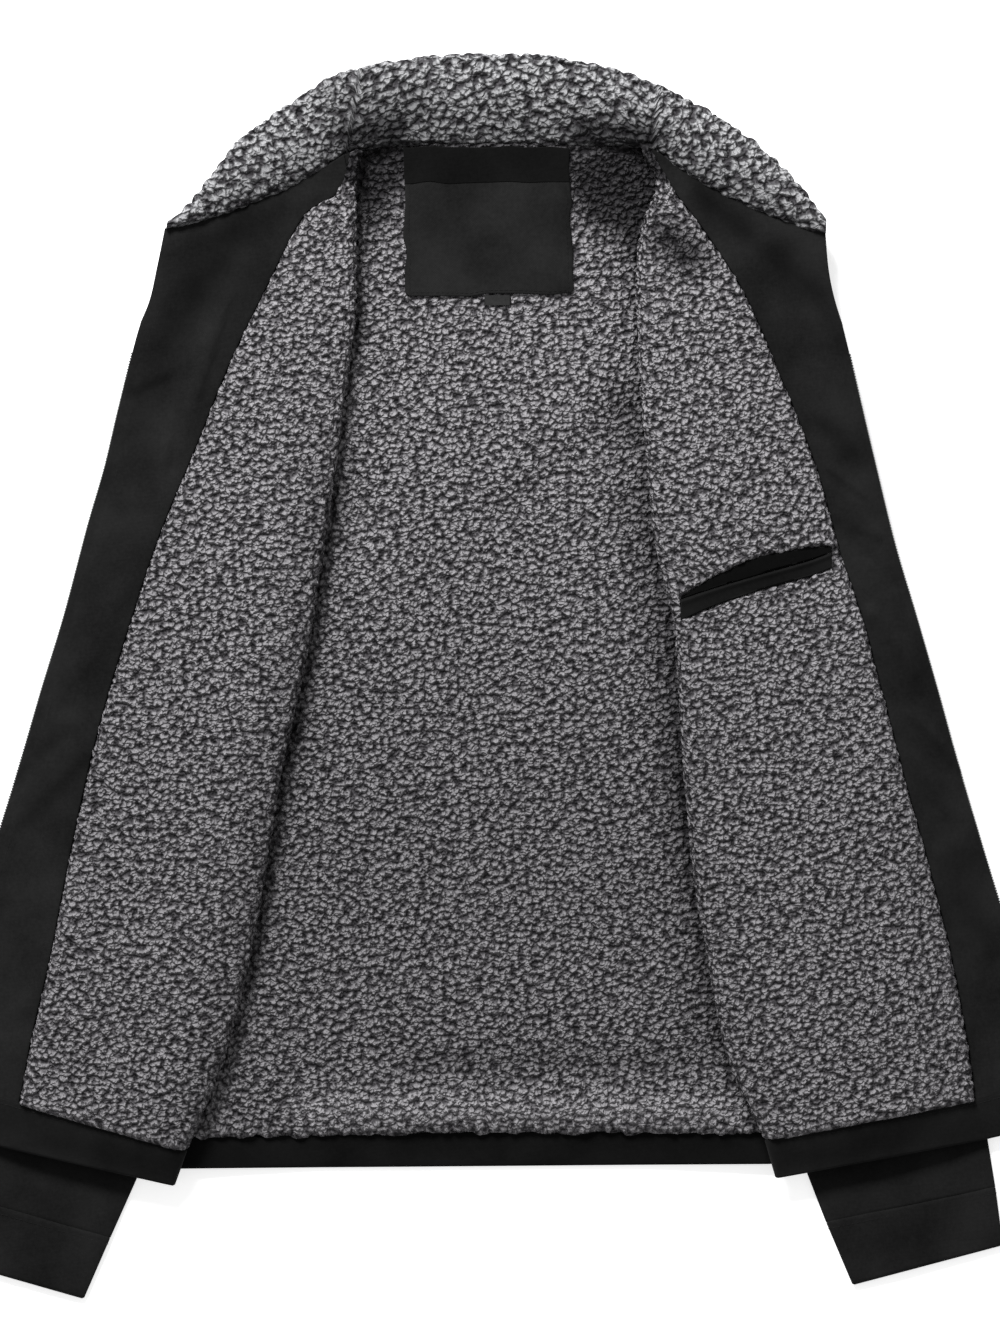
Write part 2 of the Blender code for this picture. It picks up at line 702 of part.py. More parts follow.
def sleeves():
    """Both sleeves, flat under the jacket, and their cuffs beyond its hem."""
    for side, table in (("right", RIGHT_SLEEVE), ("left", LEFT_SLEEVE)):
        rows = np.array(table, float)
        share = np.linspace(0.0, 1.0, SLEEVE_STEPS)[:, None]
        straight = rows[0] + (rows[1] - rows[0]) * share
        stations = np.vstack([straight, rows[2]])
        outer = flat_rings(stations, SLEEVE_HIGH, 0.0)
        inner = flat_rings(stations, SLEEVE_HIGH, SLEEVE_WALL)
        tube(f"{side}_sleeve", outer, inner, CANVAS)
        start = rows[2] + (rows[3] - rows[2]) * (SEAM / CUFF_LONG)
        middle = (start + rows[3]) / 2.0
        stations = np.vstack([start, middle, rows[3]])
        outer = flat_rings(stations, CUFF_HIGH, 0.0)
        inner = flat_rings(stations, CUFF_HIGH, CUFF_WALL)
        tube(f"{side}_cuff", outer, inner, CANVAS)


def collar_rows():
    """The collar's rows, its seam side set off from the pieces sewn to it."""
    rows = through(COLLAR_ROWS, np.linspace(0, len(COLLAR_ROWS) - 1, COLLAR_STEPS))
    seam = rows[:, 0:2]
    edge = rows[:, 2:4]
    seam_y = np.maximum(seam[:, 1], neck_line(seam[:, 0]) + COLLAR_SET)
    seam = np.column_stack([seam[:, 0], seam_y])
    return seam, edge, rows[:, 4], rows[:, 5]


def collar():
    """The sherpa collar as one rolled solid, and the shell collar under it."""
    seam, edge, seam_z, edge_z = collar_rows()
    across = np.array([point.across for point in COLLAR_SECTION])
    up = np.array([point.up for point in COLLAR_SECTION])
    plan = seam[:, None] + (edge - seam)[:, None] * across[None, :, None]
    under = seam_z[:, None] + (edge_z - seam_z)[:, None] * smooth(across)[None, :]
    loft("collar", raised(plan, under + COLLAR_HIGH * up[None, :]), PILE)
    plan = plan[1:-1, UNDERSIDE]
    under = under[1:-1, UNDERSIDE] - SEAM
    high = raised(plan, under)
    low = raised(plan, under - UNDER_COLLAR)
    wall("under_collar", low, high, CANVAS)


def flat_patch(name, top, foot, thick, finish):
    """A rectangle of cloth lying on the back's sherpa, from its top to its foot."""
    down = np.linspace(0.0, 1.0, PATCH_STEPS)[:, None]
    share = np.linspace(0.0, 1.0, PATCH_STEPS)[None, :]
    top_x = top[0] + (top[1] - top[0]) * share
    foot_x = foot[0] + (foot[1] - foot[0]) * share
    x = top_x + (foot_x - top_x) * down
    y = np.broadcast_to(top[2] + (foot[2] - top[2]) * down, x.shape)
    plan = np.stack([x, y], axis=-1)
    low = base(x, y) + LINING_TOP + LAY
    wall(name, raised(plan, low), raised(plan, low + thick), finish)


def neck_trim():
    """The patch under the collar and the bare size tab below it."""
    flat_patch("neck_patch", PATCH_TOP, PATCH_FOOT, PATCH, TWILL)
    flat_patch("size_tab", TAB_TOP, TAB_FOOT, TAB, WOVEN)


def pocket():
    """The inside pocket of the wearer's left front: a welt and the cloth behind its mouth."""
    rows = np.array(POCKET_ROWS, float)
    front = Front(LEFT_ROWS, 1, np.full(len(rows), 6.0))
    strips = (("pocket_facing", 1, 2, SEAM), ("pocket_welt", 2, 3, 0.0))
    for name, upper, lower, gap in strips:
        share = np.array([0.0, 1.0])[None, :]
        start = rows[:, upper][:, None]
        end = rows[:, lower][:, None] + gap
        y = start + (end - start) * share
        plan = np.stack([np.broadcast_to(rows[:, :1], y.shape), y], axis=-1)
        low = raised(plan, front.upper_height(plan, LINING_OUT + SEAM))
        high = raised(plan, front.upper_height(plan, LINING_OUT + SEAM + WELT))
        wall(name, low, high, TWILL)


def zip_strip(name, front, inside, outside, low, high, finish):
    """A strip along the zip edge, between two distances in from it."""
    shares = np.array([inside, outside])[None, :, None]
    plan = front.edge[:, None] - front.out[:, None] * shares
    ground = front.upper_height(plan, FOLD_IN)
    wall(name, raised(plan, ground + low), raised(plan, ground + high), finish)


def zips():
    """Tape and teeth of both halves of the zip, along the edge and the band."""
    rows = np.linspace(SHERPA_ROW, HEM_ROW, FRONT_STEPS)
    down = rows[rows >= ZIP_TOP_ROW]
    band_third = HEM_ROW + 0.33
    slider_end = SLIDER_UP - SLIDER_LONG / 2 - TEETH_END
    ends = {"right": BAND_ROW - slider_end / BAND_LONG, "left": LEFT_TEETH_ROW}
    for side, table, sign in (("right", RIGHT_ROWS, -1), ("left", LEFT_ROWS, 1)):
        for part, last in (("tape", float(BAND_ROW)), ("teeth", ends[side])):
            rows = np.concatenate([down, [band_third, last]])
            front = Front(table, sign, rows)
            sink = HEM_ROW < rows
            front.middle[sink] -= BAND_SAG * smooth(rows[sink] - HEM_ROW)
            name = f"{side}_zip_{part}"
            if part == "tape":
                inner = ZIP_MARGIN - SEAM
                outer = TEETH_WIDE + SEAM
                zip_strip(name, front, inner, outer, TAPE_LOW, TAPE_LOW + TAPE_HIGH, TWILL)
                continue
            low = TAPE_LOW + TAPE_HIGH / 2 - TEETH_HIGH / 2
            zip_strip(name, front, TEETH_WIDE, 0.0, low, low + TEETH_HIGH, TEETH)


def zip_end(table, sign, up):
    """Place on the teeth's line, a way up from the end: +X away from the cloth, +Y up it."""
    row = BAND_ROW - up / BAND_LONG
    front = Front(table, sign, np.array([row - 0.05, row, row + 0.05]))
    front.middle = FOLD_MID - BAND_SAG * smooth(front.at - HEM_ROW)
    spot = front.edge - front.out * (TEETH_WIDE / 2)
    along = unit(spot[0] - spot[2])
    height = front.upper_height(spot[:, None], FOLD_IN)[1, 0] + TAPE_LOW + TAPE_HIGH / 2
    out = np.array([along[1], -along[0]]) * sign
    place = Matrix.Identity(4)
    place.col[0] = Vector((out[0], out[1], 0.0, 0.0))
    place.col[1] = Vector((along[0], along[1], 0.0, 0.0))
    place.col[2] = Vector((0.0, 0.0, 1.0, 0.0))
    place.translation = (
        (spot[1, 0] + CENTRE_SHIFT[0]) * MM,
        (spot[1, 1] + CENTRE_SHIFT[1]) * MM,
        height * MM,
    )
    return place


def block(work, low, high):
    """Adds a box between two corners, in millimetres, to a mesh being made."""
    made = bmesh.ops.create_cube(work, size=1.0)
    size = [(b - a) * MM for a, b in zip(low, high)]
    middle = [(a + b) / 2 * MM for a, b in zip(low, high)]
    turn = Matrix.Translation(middle) @ Matrix.Diagonal((*size, 1.0))
    bmesh.ops.transform(work, matrix=turn, verts=made["verts"])


def rod(work, radius, length, centre):
    """Adds a cylinder along X, in millimetres, to a mesh being made."""
    turn = Matrix.Translation([c * MM for c in centre]) @ Matrix.Rotation(math.pi / 2, 4, "Y")
    bmesh.ops.create_cone(
        work,
        cap_ends=True,
        segments=ROD_SIDES,
        radius1=radius * MM,
        radius2=radius * MM,
        depth=length * MM,
        matrix=turn,
    )


def solid(name, build, finish, collection=NAME):
    """An object from a function that adds shapes to a mesh."""
    work = bmesh.new()
    build(work)
    bmesh.ops.recalc_face_normals(work, faces=work.faces)
    mesh = bpy.data.meshes.new(name)
    work.to_mesh(mesh)
    work.free()
    obj = bpy.data.objects.new(name, mesh)
    obj.data.materials.append(plain_material(name, finish))
    bpy.data.collections[collection].objects.link(obj)
    return obj


def combine(obj, other, operation):
    """Adds a Boolean modifier with another object, which is kept as a cutter."""
    cut = obj.modifiers.new(operation.lower(), "BOOLEAN")
    cut.operation = operation
    cut.object = other
    other.hide_render = True
    other.display_type = "WIRE"


def zip_ends():
    """Box, slider and pull tab at the end of the right zip, and the pin on the left."""
    place = zip_end(RIGHT_ROWS, -1, BOX_LONG / 2)
    side = TEETH_WIDE / 2
    half = BOX_LONG / 2
    low = (-side, -half, -BOX_HIGH / 2)
    high = (BOX_WIDE - side, half, BOX_HIGH / 2)
    box = solid("zip_box", lambda work: block(work, low, high), METAL)
    box.matrix_world = place
    bevel(box, BOX_ROUND)
    pin_low = (-side, -PIN_LONG / 2, -PIN_WIDE / 2)
    pin_high = (side, PIN_LONG / 2, PIN_WIDE / 2)
    pin = solid("zip_pin", lambda work: block(work, pin_low, pin_high), METAL)
    pin.matrix_world = zip_end(LEFT_ROWS, 1, PIN_UP)
    bevel(pin, PIN_ROUND)
    slider()


def bevel(obj, width):
    """Rounds an object's edges."""
    edge = obj.modifiers.new("bevel", "BEVEL")
    edge.width = width * MM
    edge.segments = 2
    edge.limit_method = "ANGLE"


def slider():
    """The slider, an I section whose slots take the two rows of teeth, and its pull."""
    place = zip_end(RIGHT_ROWS, -1, SLIDER_UP)
    half = SLIDER_LONG / 2
    face = SLIDER_SLOT / 2 + SLIDER_PLATE
    middle = (SLIDER_POST[0] + SLIDER_POST[1]) / 2
    bar_z = -face - BAR_DROP
    slot = SLIDER_SLOT / 2
    low = (SLIDER_INNER, -half, slot)
    high = (SLIDER_OUTER, half, face)
    body = solid("zip_slider", lambda work: block(work, low, high), METAL)
    post = half - 2 * BITE
    parts = [
        ((SLIDER_INNER, -half, -face), (SLIDER_OUTER, half, -slot)),
        ((SLIDER_POST[0], -post, -slot - BITE), (SLIDER_POST[1], post, slot + BITE)),
    ]
    for turn in (-1, 1):
        edges = sorted((middle + turn * LUG_INSIDE, middle + turn * (LUG_INSIDE + LUG_THICK)))
        lug_low = (edges[0], -LUG_LONG / 2, bar_z - BAR_RADIUS - BITE)
        parts.append((lug_low, (edges[1], LUG_LONG / 2, -slot - BITE)))
    reach = 2 * LUG_INSIDE + LUG_THICK
    shapes = [lambda work, a=a, b=b: block(work, a, b) for a, b in parts]
    shapes.append(lambda work: rod(work, BAR_RADIUS, reach, (middle, 0.0, bar_z)))
    body.matrix_world = place
    for number, shape in enumerate(shapes):
        other = solid(f"slider_part_{number}", shape, METAL, "cutters")
        other.matrix_world = place
        combine(body, other, "UNION")
    pull = Matrix.Translation((middle * MM, 0.0, bar_z * MM))
    pull = place @ pull @ Matrix.Rotation(math.radians(PULL_DIP), 4, "X")
    eye = solid("pull_tab", lambda work: rod(work, EYE_RADIUS, PULL_WIDE, (0, 0, 0)), METAL)
    eye.matrix_world = pull
    thick = PULL_THICK / 2
    wide = PULL_WIDE / 2 - PULL_INSET
    strip_low = (-wide, -PULL_LONG, -thick)
    strip_high = (wide, -(EYE_BORE + EYE_RADIUS) / 2, thick)
    strip = solid("pull_strip", lambda work: block(work, strip_low, strip_high), METAL, "cutters")
    strip.matrix_world = pull
    through_eye = PULL_WIDE * 2
    hole = lambda work: rod(work, EYE_BORE, through_eye, (0, 0, 0))
    bore = solid("pull_bore", hole, METAL, "cutters")
    bore.matrix_world = pull
    combine(eye, strip, "UNION")
    combine(eye, bore, "DIFFERENCE")


def main():
    """Builds the jacket in an empty scene."""
    for obj in list(bpy.data.objects):
        bpy.data.objects.remove(obj, do_unlink=True)
    for name in (NAME, "cutters"):
        bpy.context.scene.collection.children.link(bpy.data.collections.new(name))
    sleeves()
    back()
    fronts()
    collar()
    neck_trim()
    pocket()
    zips()
    zip_ends()


main()
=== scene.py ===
"""Looks of a sherpa lined jacket, laid open on its back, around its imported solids.

Sizes are in millimetres until a mesh is made, and the scene is in metres. +Z is up,
+Y runs to the collar and +X to the wearer's left. Every cloth piece is worked out
again on a finer grid than its solid, with its pile, creases and rounded edges.
"""

import logging
import math
from dataclasses import dataclass
from enum import Enum
from typing import NamedTuple, Optional, Sequence, Union

import bpy
import numpy as np
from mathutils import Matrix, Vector


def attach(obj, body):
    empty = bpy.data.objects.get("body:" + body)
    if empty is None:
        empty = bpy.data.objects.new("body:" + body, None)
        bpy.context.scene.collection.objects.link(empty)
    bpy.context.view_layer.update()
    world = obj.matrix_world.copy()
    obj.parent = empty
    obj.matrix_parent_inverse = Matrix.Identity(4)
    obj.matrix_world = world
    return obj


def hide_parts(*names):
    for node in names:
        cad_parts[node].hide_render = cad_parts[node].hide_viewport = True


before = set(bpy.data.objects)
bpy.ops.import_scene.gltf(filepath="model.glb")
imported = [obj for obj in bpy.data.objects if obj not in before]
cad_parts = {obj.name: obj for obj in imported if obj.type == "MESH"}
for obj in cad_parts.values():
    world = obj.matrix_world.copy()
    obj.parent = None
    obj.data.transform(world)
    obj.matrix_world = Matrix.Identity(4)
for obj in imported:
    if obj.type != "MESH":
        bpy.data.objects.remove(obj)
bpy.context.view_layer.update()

LOG = logging.getLogger("jacket")
Array = np.ndarray
Tree = bpy.types.NodeTree
Socket = bpy.types.NodeSocket

MM = 0.001
BODY = "jacket"
CENTRE_SHIFT = (3.4, -0.1)  # moves the laid-out jacket over its origin

# Cloth thicknesses and gaps.
SHELL = 1.2
SHERPA = 6.5
FACING = 1.5
BAND = 3.5
UNDER_COLLAR = 1.2
PATCH = 1.3
TAB = 0.9
WELT = 1.6
SLEEVE_WALL = 2.0
SLEEVE_HIGH = 5.0
CUFF_WALL = 2.3
CUFF_HIGH = 5.8
SEAM = 0.3
LAY = 0.7
FRONT_LAY = 0.9

# Heights of the layers above the base.
LINING_LOW = SHELL + SEAM
LINING_TOP = LINING_LOW + SHERPA
FOLD_IN = LAY / 2
SHELL_OUT = FOLD_IN + SHELL
LINING_IN = SHELL_OUT + SEAM
LINING_OUT = LINING_IN + SHERPA
BAND_OUT = FOLD_IN + BAND
FOLD_MID = LINING_TOP + FRONT_LAY + LINING_OUT
BAND_SAG = 8.5  # how far a front band sinks at its lower edge
BAND_LONG = 29.0  # the front band's height along the zip
BAND_LAP = 1.5  # how far a band reaches over its seam
NECK_CORNER = 4.0  # the facing starts this far from the fold at the neck
NECK_SAG = 6.5  # how far the neck seam bows down between the neck and the tip
LEG_REACH = 0.985  # the most of a front's width that its lower leg takes up
MOST_SHADE = 0.9  # the deepest shade of a hollow

# The sleeves lift what lies on them, and outside the side seam a front sinks onto one.
LIFT = SLEEVE_HIGH + 0.6
LIFT_RAMP = 120.0
SINK_START = 4.0
SINK_RAMP = 80.0
SINK_REST = 0.7

# The zip beyond the edge of the cloth.
ZIP_TOP_ROW = 3.25
ZIP_FADE = 0.6
ZIP_MARGIN = 4.2
FACING_MARGIN = 0.8
LAP_FADE = 1.0
TAPE_TUCK = 0.6
TEETH_WIDE = 1.9
TEETH_HIGH = 2.6
TEETH_PITCH = 1.8
TAPE_HIGH = 0.8
TAPE_LOW = 0.4
RIGHT_TEETH_ROW = 13.74
LEFT_TEETH_ROW = 13.58
SLIDER_HOLD = 5.0  # the slider holds its corner of the front up by this
SLIDER_REACH = 40.0

# Rows of a front's table: the top of its sherpa, its hem seam and its band's edge.
SHERPA_ROW = 1
HEM_ROW = 13
BAND_ROW = 14

# The narrow strip of sherpa that runs on from each front's tip to the collar.
STRIP_ROW = 0.04
STRIP_THIN = 3.2
STRIP_LEAN = 9.0
STRIP_EDGE = 0.5
# Painted shade on the strip, and how soon it comes in past the front's tip.
STRIP_SHADE = 0.9
STRIP_REACH = 6.0


class Row(NamedTuple):
    """One section of a front: its folded edge, its sherpa's border and its zip edge."""

    fold_x: float
    fold_y: float
    border_x: float
    border_y: float
    edge_x: float
    edge_y: float


RIGHT_ROWS = [
    Row(-90, 340, -99, 336, -210, 290),
    Row(-86, 315, -98, 314, -215, 265),
    Row(-86, 283, -120, 298, -220, 243),
    Row(-86, 238, -143, 254, -229, 220),
    Row(-93, 183, -167, 204, -241, 173),
    Row(-99, 134, -189, 150, -250, 135),
    Row(-107, 79, -213, 92, -261, 97),
    Row(-116, 23, -232, 35, -276, 40),
    Row(-125, -22, -248, -17, -291, -9),
    Row(-135, -68, -260, -64, -306, -60),
    Row(-145, -133, -273, -124, -324, -118),
    Row(-157, -194, -285, -186, -343, -179),
    Row(-172, -250, -297, -237, -358, -229),
    Row(-196, -309, -305, -278, -367, -261),
    Row(-204, -331, -315, -306, -375, -289),
]
LEFT_ROWS = [
    Row(105, 342, 114, 338, 218, 287),
    Row(108, 316, 120, 315, 220, 264),
    Row(98, 289, 138, 291, 224, 244),
    Row(95, 244, 165.8, 247, 232, 218),
    Row(98, 189, 189.8, 192, 242, 176),
    Row(102, 134, 211.8, 136, 252, 134),
    Row(108, 82, 226.8, 83, 264, 85),
    Row(119, 36, 241.8, 38, 278, 38),
    Row(123, -16, 255.8, -14, 292, -10),
    Row(126, -64, 268.8, -64, 306, -60),
    Row(132, -126, 285.8, -125, 324, -120),
    Row(142, -188, 300.8, -186, 343, -181),
    Row(155, -250, 311.8, -246, 361, -240),
    Row(179, -302, 315.8, -276, 368, -262),
    Row(186, -326, 322, -301, 375, -289),
]


class Side(NamedTuple):
    """The back's half width and middle at one height."""

    y: float
    half: float
    middle: float


class Spot(NamedTuple):
    """A point in the plan."""

    x: float
    y: float


BACK_SIDES = [
    Side(290, 210, 4),
    Side(244, 214, 3),
    Side(179, 222, 1),
    Side(114, 235, 0),
    Side(56, 255, -1),
    Side(-16, 256, -3),
    Side(-146, 257, -5),
    Side(-320, 259, -8),
]
BACK_NECK = [Spot(-90, 340), Spot(-58, 345), Spot(0, 345), Spot(60, 345), Spot(105, 342)]
HEM_SEAM = [Spot(-267, -288), Spot(-194, -300), Spot(-9, -297), Spot(179, -297), Spot(253, -285)]
HEM_EDGE = [Spot(-267, -311), Spot(-201, -320), Spot(-58, -319), Spot(183, -317), Spot(253, -307)]


class CollarRow(NamedTuple):
    """One section of the collar: its seam, its outer edge and its underside's heights."""

    seam_x: float
    seam_y: float
    edge_x: float
    edge_y: float
    seam_z: float
    edge_z: float


COLLAR_ROWS = [
    CollarRow(-209, 291, -208, 296, 21, 20),
    CollarRow(-188, 295, -194, 307, 21, 18),
    CollarRow(-168, 300, -177, 329, 20, 14),
    CollarRow(-148, 308, -160, 350, 19, 9),
    CollarRow(-129, 316, -133, 369, 18, 5),
    CollarRow(-111, 327, -109, 386, 16, 3),
    CollarRow(-90, 341, -81, 396, 12, 2),
    CollarRow(-58, 346, -45, 402, 5, 1.7),
    CollarRow(-29, 346, -19, 404, 2.5, 1.7),
    CollarRow(1, 346, 7, 404, 2, 1.7),
    CollarRow(36, 346, 40, 403, 2.5, 1.7),
    CollarRow(72, 346, 75, 396, 5, 1.7),
    CollarRow(105, 343, 108, 385, 12, 2),
    CollarRow(124, 329, 137, 371, 16, 3),
    CollarRow(145, 315, 160, 356, 18, 6),
    CollarRow(166, 303, 179, 341, 19, 11),
    CollarRow(192, 293, 200, 320, 20, 16),
    CollarRow(218, 288, 218, 295, 21, 20),
]
COLLAR_HIGH = 11.0
COLLAR_SET = -1.6
COLLAR_LAP = 2.2


class Share(NamedTuple):
    """A point of the collar's section: shares of the way across and of its height."""

    across: float
    up: float


COLLAR_SECTION = [
    Share(0.00, 0.20),
    Share(0.10, 0.00),
    Share(0.30, 0.00),
    Share(0.50, 0.00),
    Share(0.70, 0.00),
    Share(0.88, 0.00),
    Share(0.98, 0.25),
    Share(1.00, 0.52),
    Share(0.96, 0.80),
    Share(0.82, 0.97),
    Share(0.50, 1.00),
    Share(0.20, 0.88),
    Share(0.05, 0.66),
]


class Station(NamedTuple):
    """The inner and outer corner of a flattened sleeve at one section."""

    inner_x: float
    inner_y: float
    outer_x: float
    outer_y: float


RIGHT_SLEEVE = [
    Station(-50, 153, -209, 269),
    Station(-229, -327, -350, -294),
    Station(-246, -365, -354, -335),
    Station(-263, -404, -361, -376),
]
LEFT_SLEEVE = [
    Station(53, 153, 214, 269),
    Station(207, -324, 324, -301),
    Station(219, -355, 329, -332),
    Station(236, -395, 334, -369),
]


class Crease(NamedTuple):
    """A soft ridge, or with a height below 0 a trough: both ends, width and height."""

    x0: float
    y0: float
    x1: float
    y1: float
    wide: float
    high: float


BACK_RIDGES = [
    Crease(64, 182, 4, 130, 20, 4.0),
    Crease(-90, -276, 150, -276, 18, 3.0),
    Crease(-60, 60, -20, -60, 30, 1.5),
]
FRONT_RIDGES = [
    Crease(-204, 252, -168, 176, 18, 2.6),
    Crease(-150, 190, -120, 110, 22, 1.8),
    Crease(-262, 0, -286, -86, 20, 1.6),
    Crease(-230, -110, -210, -200, 26, 1.6),
    Crease(172, 262, 224, 190, 18, 2.6),
    Crease(150, 170, 132, 96, 22, 1.8),
    Crease(262, -40, 306, -92, 18, 1.8),
    Crease(214, -130, 250, -210, 26, 1.6),
]


class Pocket(NamedTuple):
    """The inside pocket's mouth at one x: its top lip, the welt's fold and its foot."""

    x: float
    top: float
    mid: float
    low: float


POCKET_ROWS = [
    Pocket(124, 51, 49.5, 36),
    Pocket(147, 65, 57, 46),
    Pocket(174, 77, 65, 55),
    Pocket(206, 83, 74, 64),
    Pocket(222, 84, 80, 70),
]
PATCH_TOP = (-55, 53, 344)
PATCH_FOOT = (-53, 56, 248)
TAB_TOP = (-3, 14, 247.2)
TAB_FOOT = (-3, 14, 240.6)


def smooth(value: Array) -> Array:
    """0 below 0, 1 above 1, and an even S curve between."""
    part = np.clip(value, 0.0, 1.0)
    return part * part * (3.0 - 2.0 * part)


def through(table: Sequence, at: Array) -> Array:
    """Reads a smooth curve through the rows of a table.

    Between two rows each column follows the cubic that passes through both and
    leaves each along the line between its own neighbours.

    Args:
        table: Rows of numbers.
        at: Row numbers, whole or between rows.

    Returns:
        An array with a row of values for each row number.
    """
    rows = np.array(table, float)
    last = len(rows) - 1
    first = np.clip(np.floor(at).astype(int), 0, last - 1)
    t = (at - first)[:, None]
    p0 = rows[np.maximum(first - 1, 0)]
    p1 = rows[first]
    p2 = rows[first + 1]
    p3 = rows[np.minimum(first + 2, last)]
    cubic = 3 * p1 - 3 * p2 + p3 - p0
    square = 2 * p0 - 5 * p1 + 4 * p2 - p3
    return p1 + 0.5 * t * (p2 - p0 + t * (square + t * cubic))


def unit(vectors: Array) -> Array:
    """Each vector of an array at length one."""
    length = np.linalg.norm(vectors, axis=-1, keepdims=True)
    return vectors / np.maximum(length, 1e-9)


def segment_distance(x: Array, y: Array, ends: Sequence[float]) -> Array:
    """Distance in the plan from points to the segment x0, y0, x1, y1."""
    x0, y0, x1, y1 = ends
    run_x = x1 - x0
    run_y = y1 - y0
    t = np.clip(((x - x0) * run_x + (y - y0) * run_y) / (run_x**2 + run_y**2), 0.0, 1.0)
    return np.hypot(x - x0 - t * run_x, y - y0 - t * run_y)


def sleeve_distance(x: Array, y: Array, sleeve: Sequence[Station]) -> Array:
    """Distance outside the part of a sleeve that cloth lies on, and 0 over it.

    The part is the quadrangle from the cap to the sleeve's end. A point is inside
    where it lies on the same side of all four edges.
    """
    cap = sleeve[0]
    end = sleeve[2]
    corners = [
        (cap.outer_x, cap.outer_y),
        (cap.inner_x, cap.inner_y),
        (end.inner_x, end.inner_y),
        (end.outer_x, end.outer_y),
    ]
    nearest = np.full(np.shape(x), np.inf)
    side = np.zeros(np.shape(x))
    for (x0, y0), (x1, y1) in zip(corners, corners[1:] + corners[:1]):
        nearest = np.minimum(nearest, segment_distance(x, y, (x0, y0, x1, y1)))
        side = side + np.sign((x1 - x0) * (y - y0) - (y1 - y0) * (x - x0))
    return np.where(np.abs(side) == len(corners), 0.0, nearest)


def creased(x: Array, y: Array, table: Sequence[Crease]) -> Array:
    """Height of soft creases: a bell curve across each, fading past its ends."""
    height = np.zeros(np.shape(x))
    for crease in table:
        away = segment_distance(x, y, crease[:4])
        height = height + crease.high * np.exp(-((away / crease.wide) ** 2))
    return height


def base(x: Array, y: Array) -> Array:
    """Height that the cloth lies at: the rise over both sleeves, and the back's ridges."""
    right = smooth(1.0 - sleeve_distance(x, y, RIGHT_SLEEVE) / LIFT_RAMP)
    left = smooth(1.0 - sleeve_distance(x, y, LEFT_SLEEVE) / LIFT_RAMP)
    return LIFT * (1.0 - (1.0 - right) * (1.0 - left)) + creased(x, y, BACK_RIDGES)


def side_seam(y: Array, sign: int) -> Array:
    """x of the side seam, on the wearer's right for sign -1 and left for +1; 0 is the middle."""
    rows = sorted(BACK_SIDES)
    at = [row.y for row in rows]
    middle = np.interp(y, at, [row.middle for row in rows])
    half = np.interp(y, at, [row.half for row in rows])
    return middle + sign * half

def fold_at(y: Array, table: Sequence[Row]) -> Array:
    """x of a front's fold at a height along the back."""
    rows = np.array(table, float)[::-1]
    return np.interp(y, rows[:, 1], rows[:, 0])

def line_y(line: Sequence[Spot], x: Array) -> Array:
    """y of a line through spots, read off at x."""
    return np.interp(x, [spot.x for spot in line], [spot.y for spot in line])


def neck_line(x: Array) -> Array:
    """y of the back's upper edge: shoulder seams bowed as the fronts, and the neck."""
    share = np.linspace(1.0, 0.0, 7)
    xs = []
    ys = []
    for row in (RIGHT_ROWS[0], LEFT_ROWS[0]):
        xs.append(row.fold_x + (row.edge_x - row.fold_x) * share)
        line = row.fold_y + (row.edge_y - row.fold_y) * share
        ys.append(line - NECK_SAG * 4.0 * share * (1.0 - share))
    neck = BACK_NECK[1:-1]
    all_x = np.concatenate([xs[0], [p.x for p in neck], xs[1][::-1]])
    all_y = np.concatenate([ys[0], [p.y for p in neck], ys[1][::-1]])
    return np.interp(x, all_x, all_y)


def raised(plan: Array, height: Array) -> Array:
    """Plan points with their heights, as one array of corners."""
    return np.concatenate([plan, np.asarray(height)[..., None]], axis=-1)


def run_length(points: Array, axis: int) -> Array:
    """Distance travelled along one axis of a grid of points, from its first."""
    steps = np.linalg.norm(np.diff(points, axis=axis), axis=-1)
    start = np.zeros_like(np.take(steps, [0], axis=axis))
    return np.concatenate([start, np.cumsum(steps, axis=axis)], axis=axis)


def drop_at_edge(distance: Array, radius: float) -> Array:
    """How far a rounded edge falls: a quarter circle of a radius, 0 further in."""
    inside = np.clip(radius - distance, 0.0, radius)
    return radius - np.sqrt(radius**2 - inside**2)


# Values along each side of the lattice that noise is read from.
LATTICE = 257

def blurred_noise(x: Array, y: Array, size: float, seed: int) -> Array:
    """Smooth noise from -1 to 1: random values on a square lattice, blended between.

    Args:
        x: Positions across, in millimetres.
        y: Positions along.
        size: Lattice spacing.
        seed: Picks the random values.

    Returns:
        The noise at each position.
    """
    values = np.random.default_rng(seed).uniform(-1.0, 1.0, (LATTICE, LATTICE))
    column = np.floor(x / size).astype(int)
    row = np.floor(y / size).astype(int)
    along = smooth(x / size - column)
    up = smooth(y / size - row)
    c0 = column % LATTICE
    c1 = (column + 1) % LATTICE
    r0 = row % LATTICE
    r1 = (row + 1) % LATTICE
    low = values[r0, c0] * (1 - along) + values[r0, c1] * along
    high = values[r1, c0] * (1 - along) + values[r1, c1] * along
    return low * (1 - up) + high * up

# How sharply neighbouring crumbs part: higher gives narrower hollows.
CRUMB_BLEND = 13.0
# How far a crumb strays from its cell's middle, how far it turns in radians, how much it
# is drawn out, and how much its height differs.
CRUMB_STRAY = 0.36
CRUMB_TURN = 0.9
CRUMB_STRETCH = 1.45
CRUMB_UNEVEN = 0.12
# Cells to a crumb's size across and along, where its top is, and how far it falls.
CRUMB_CELLS = (0.87, 1.16)
CRUMB_TOP = -0.1
CRUMB_FALL = 0.52

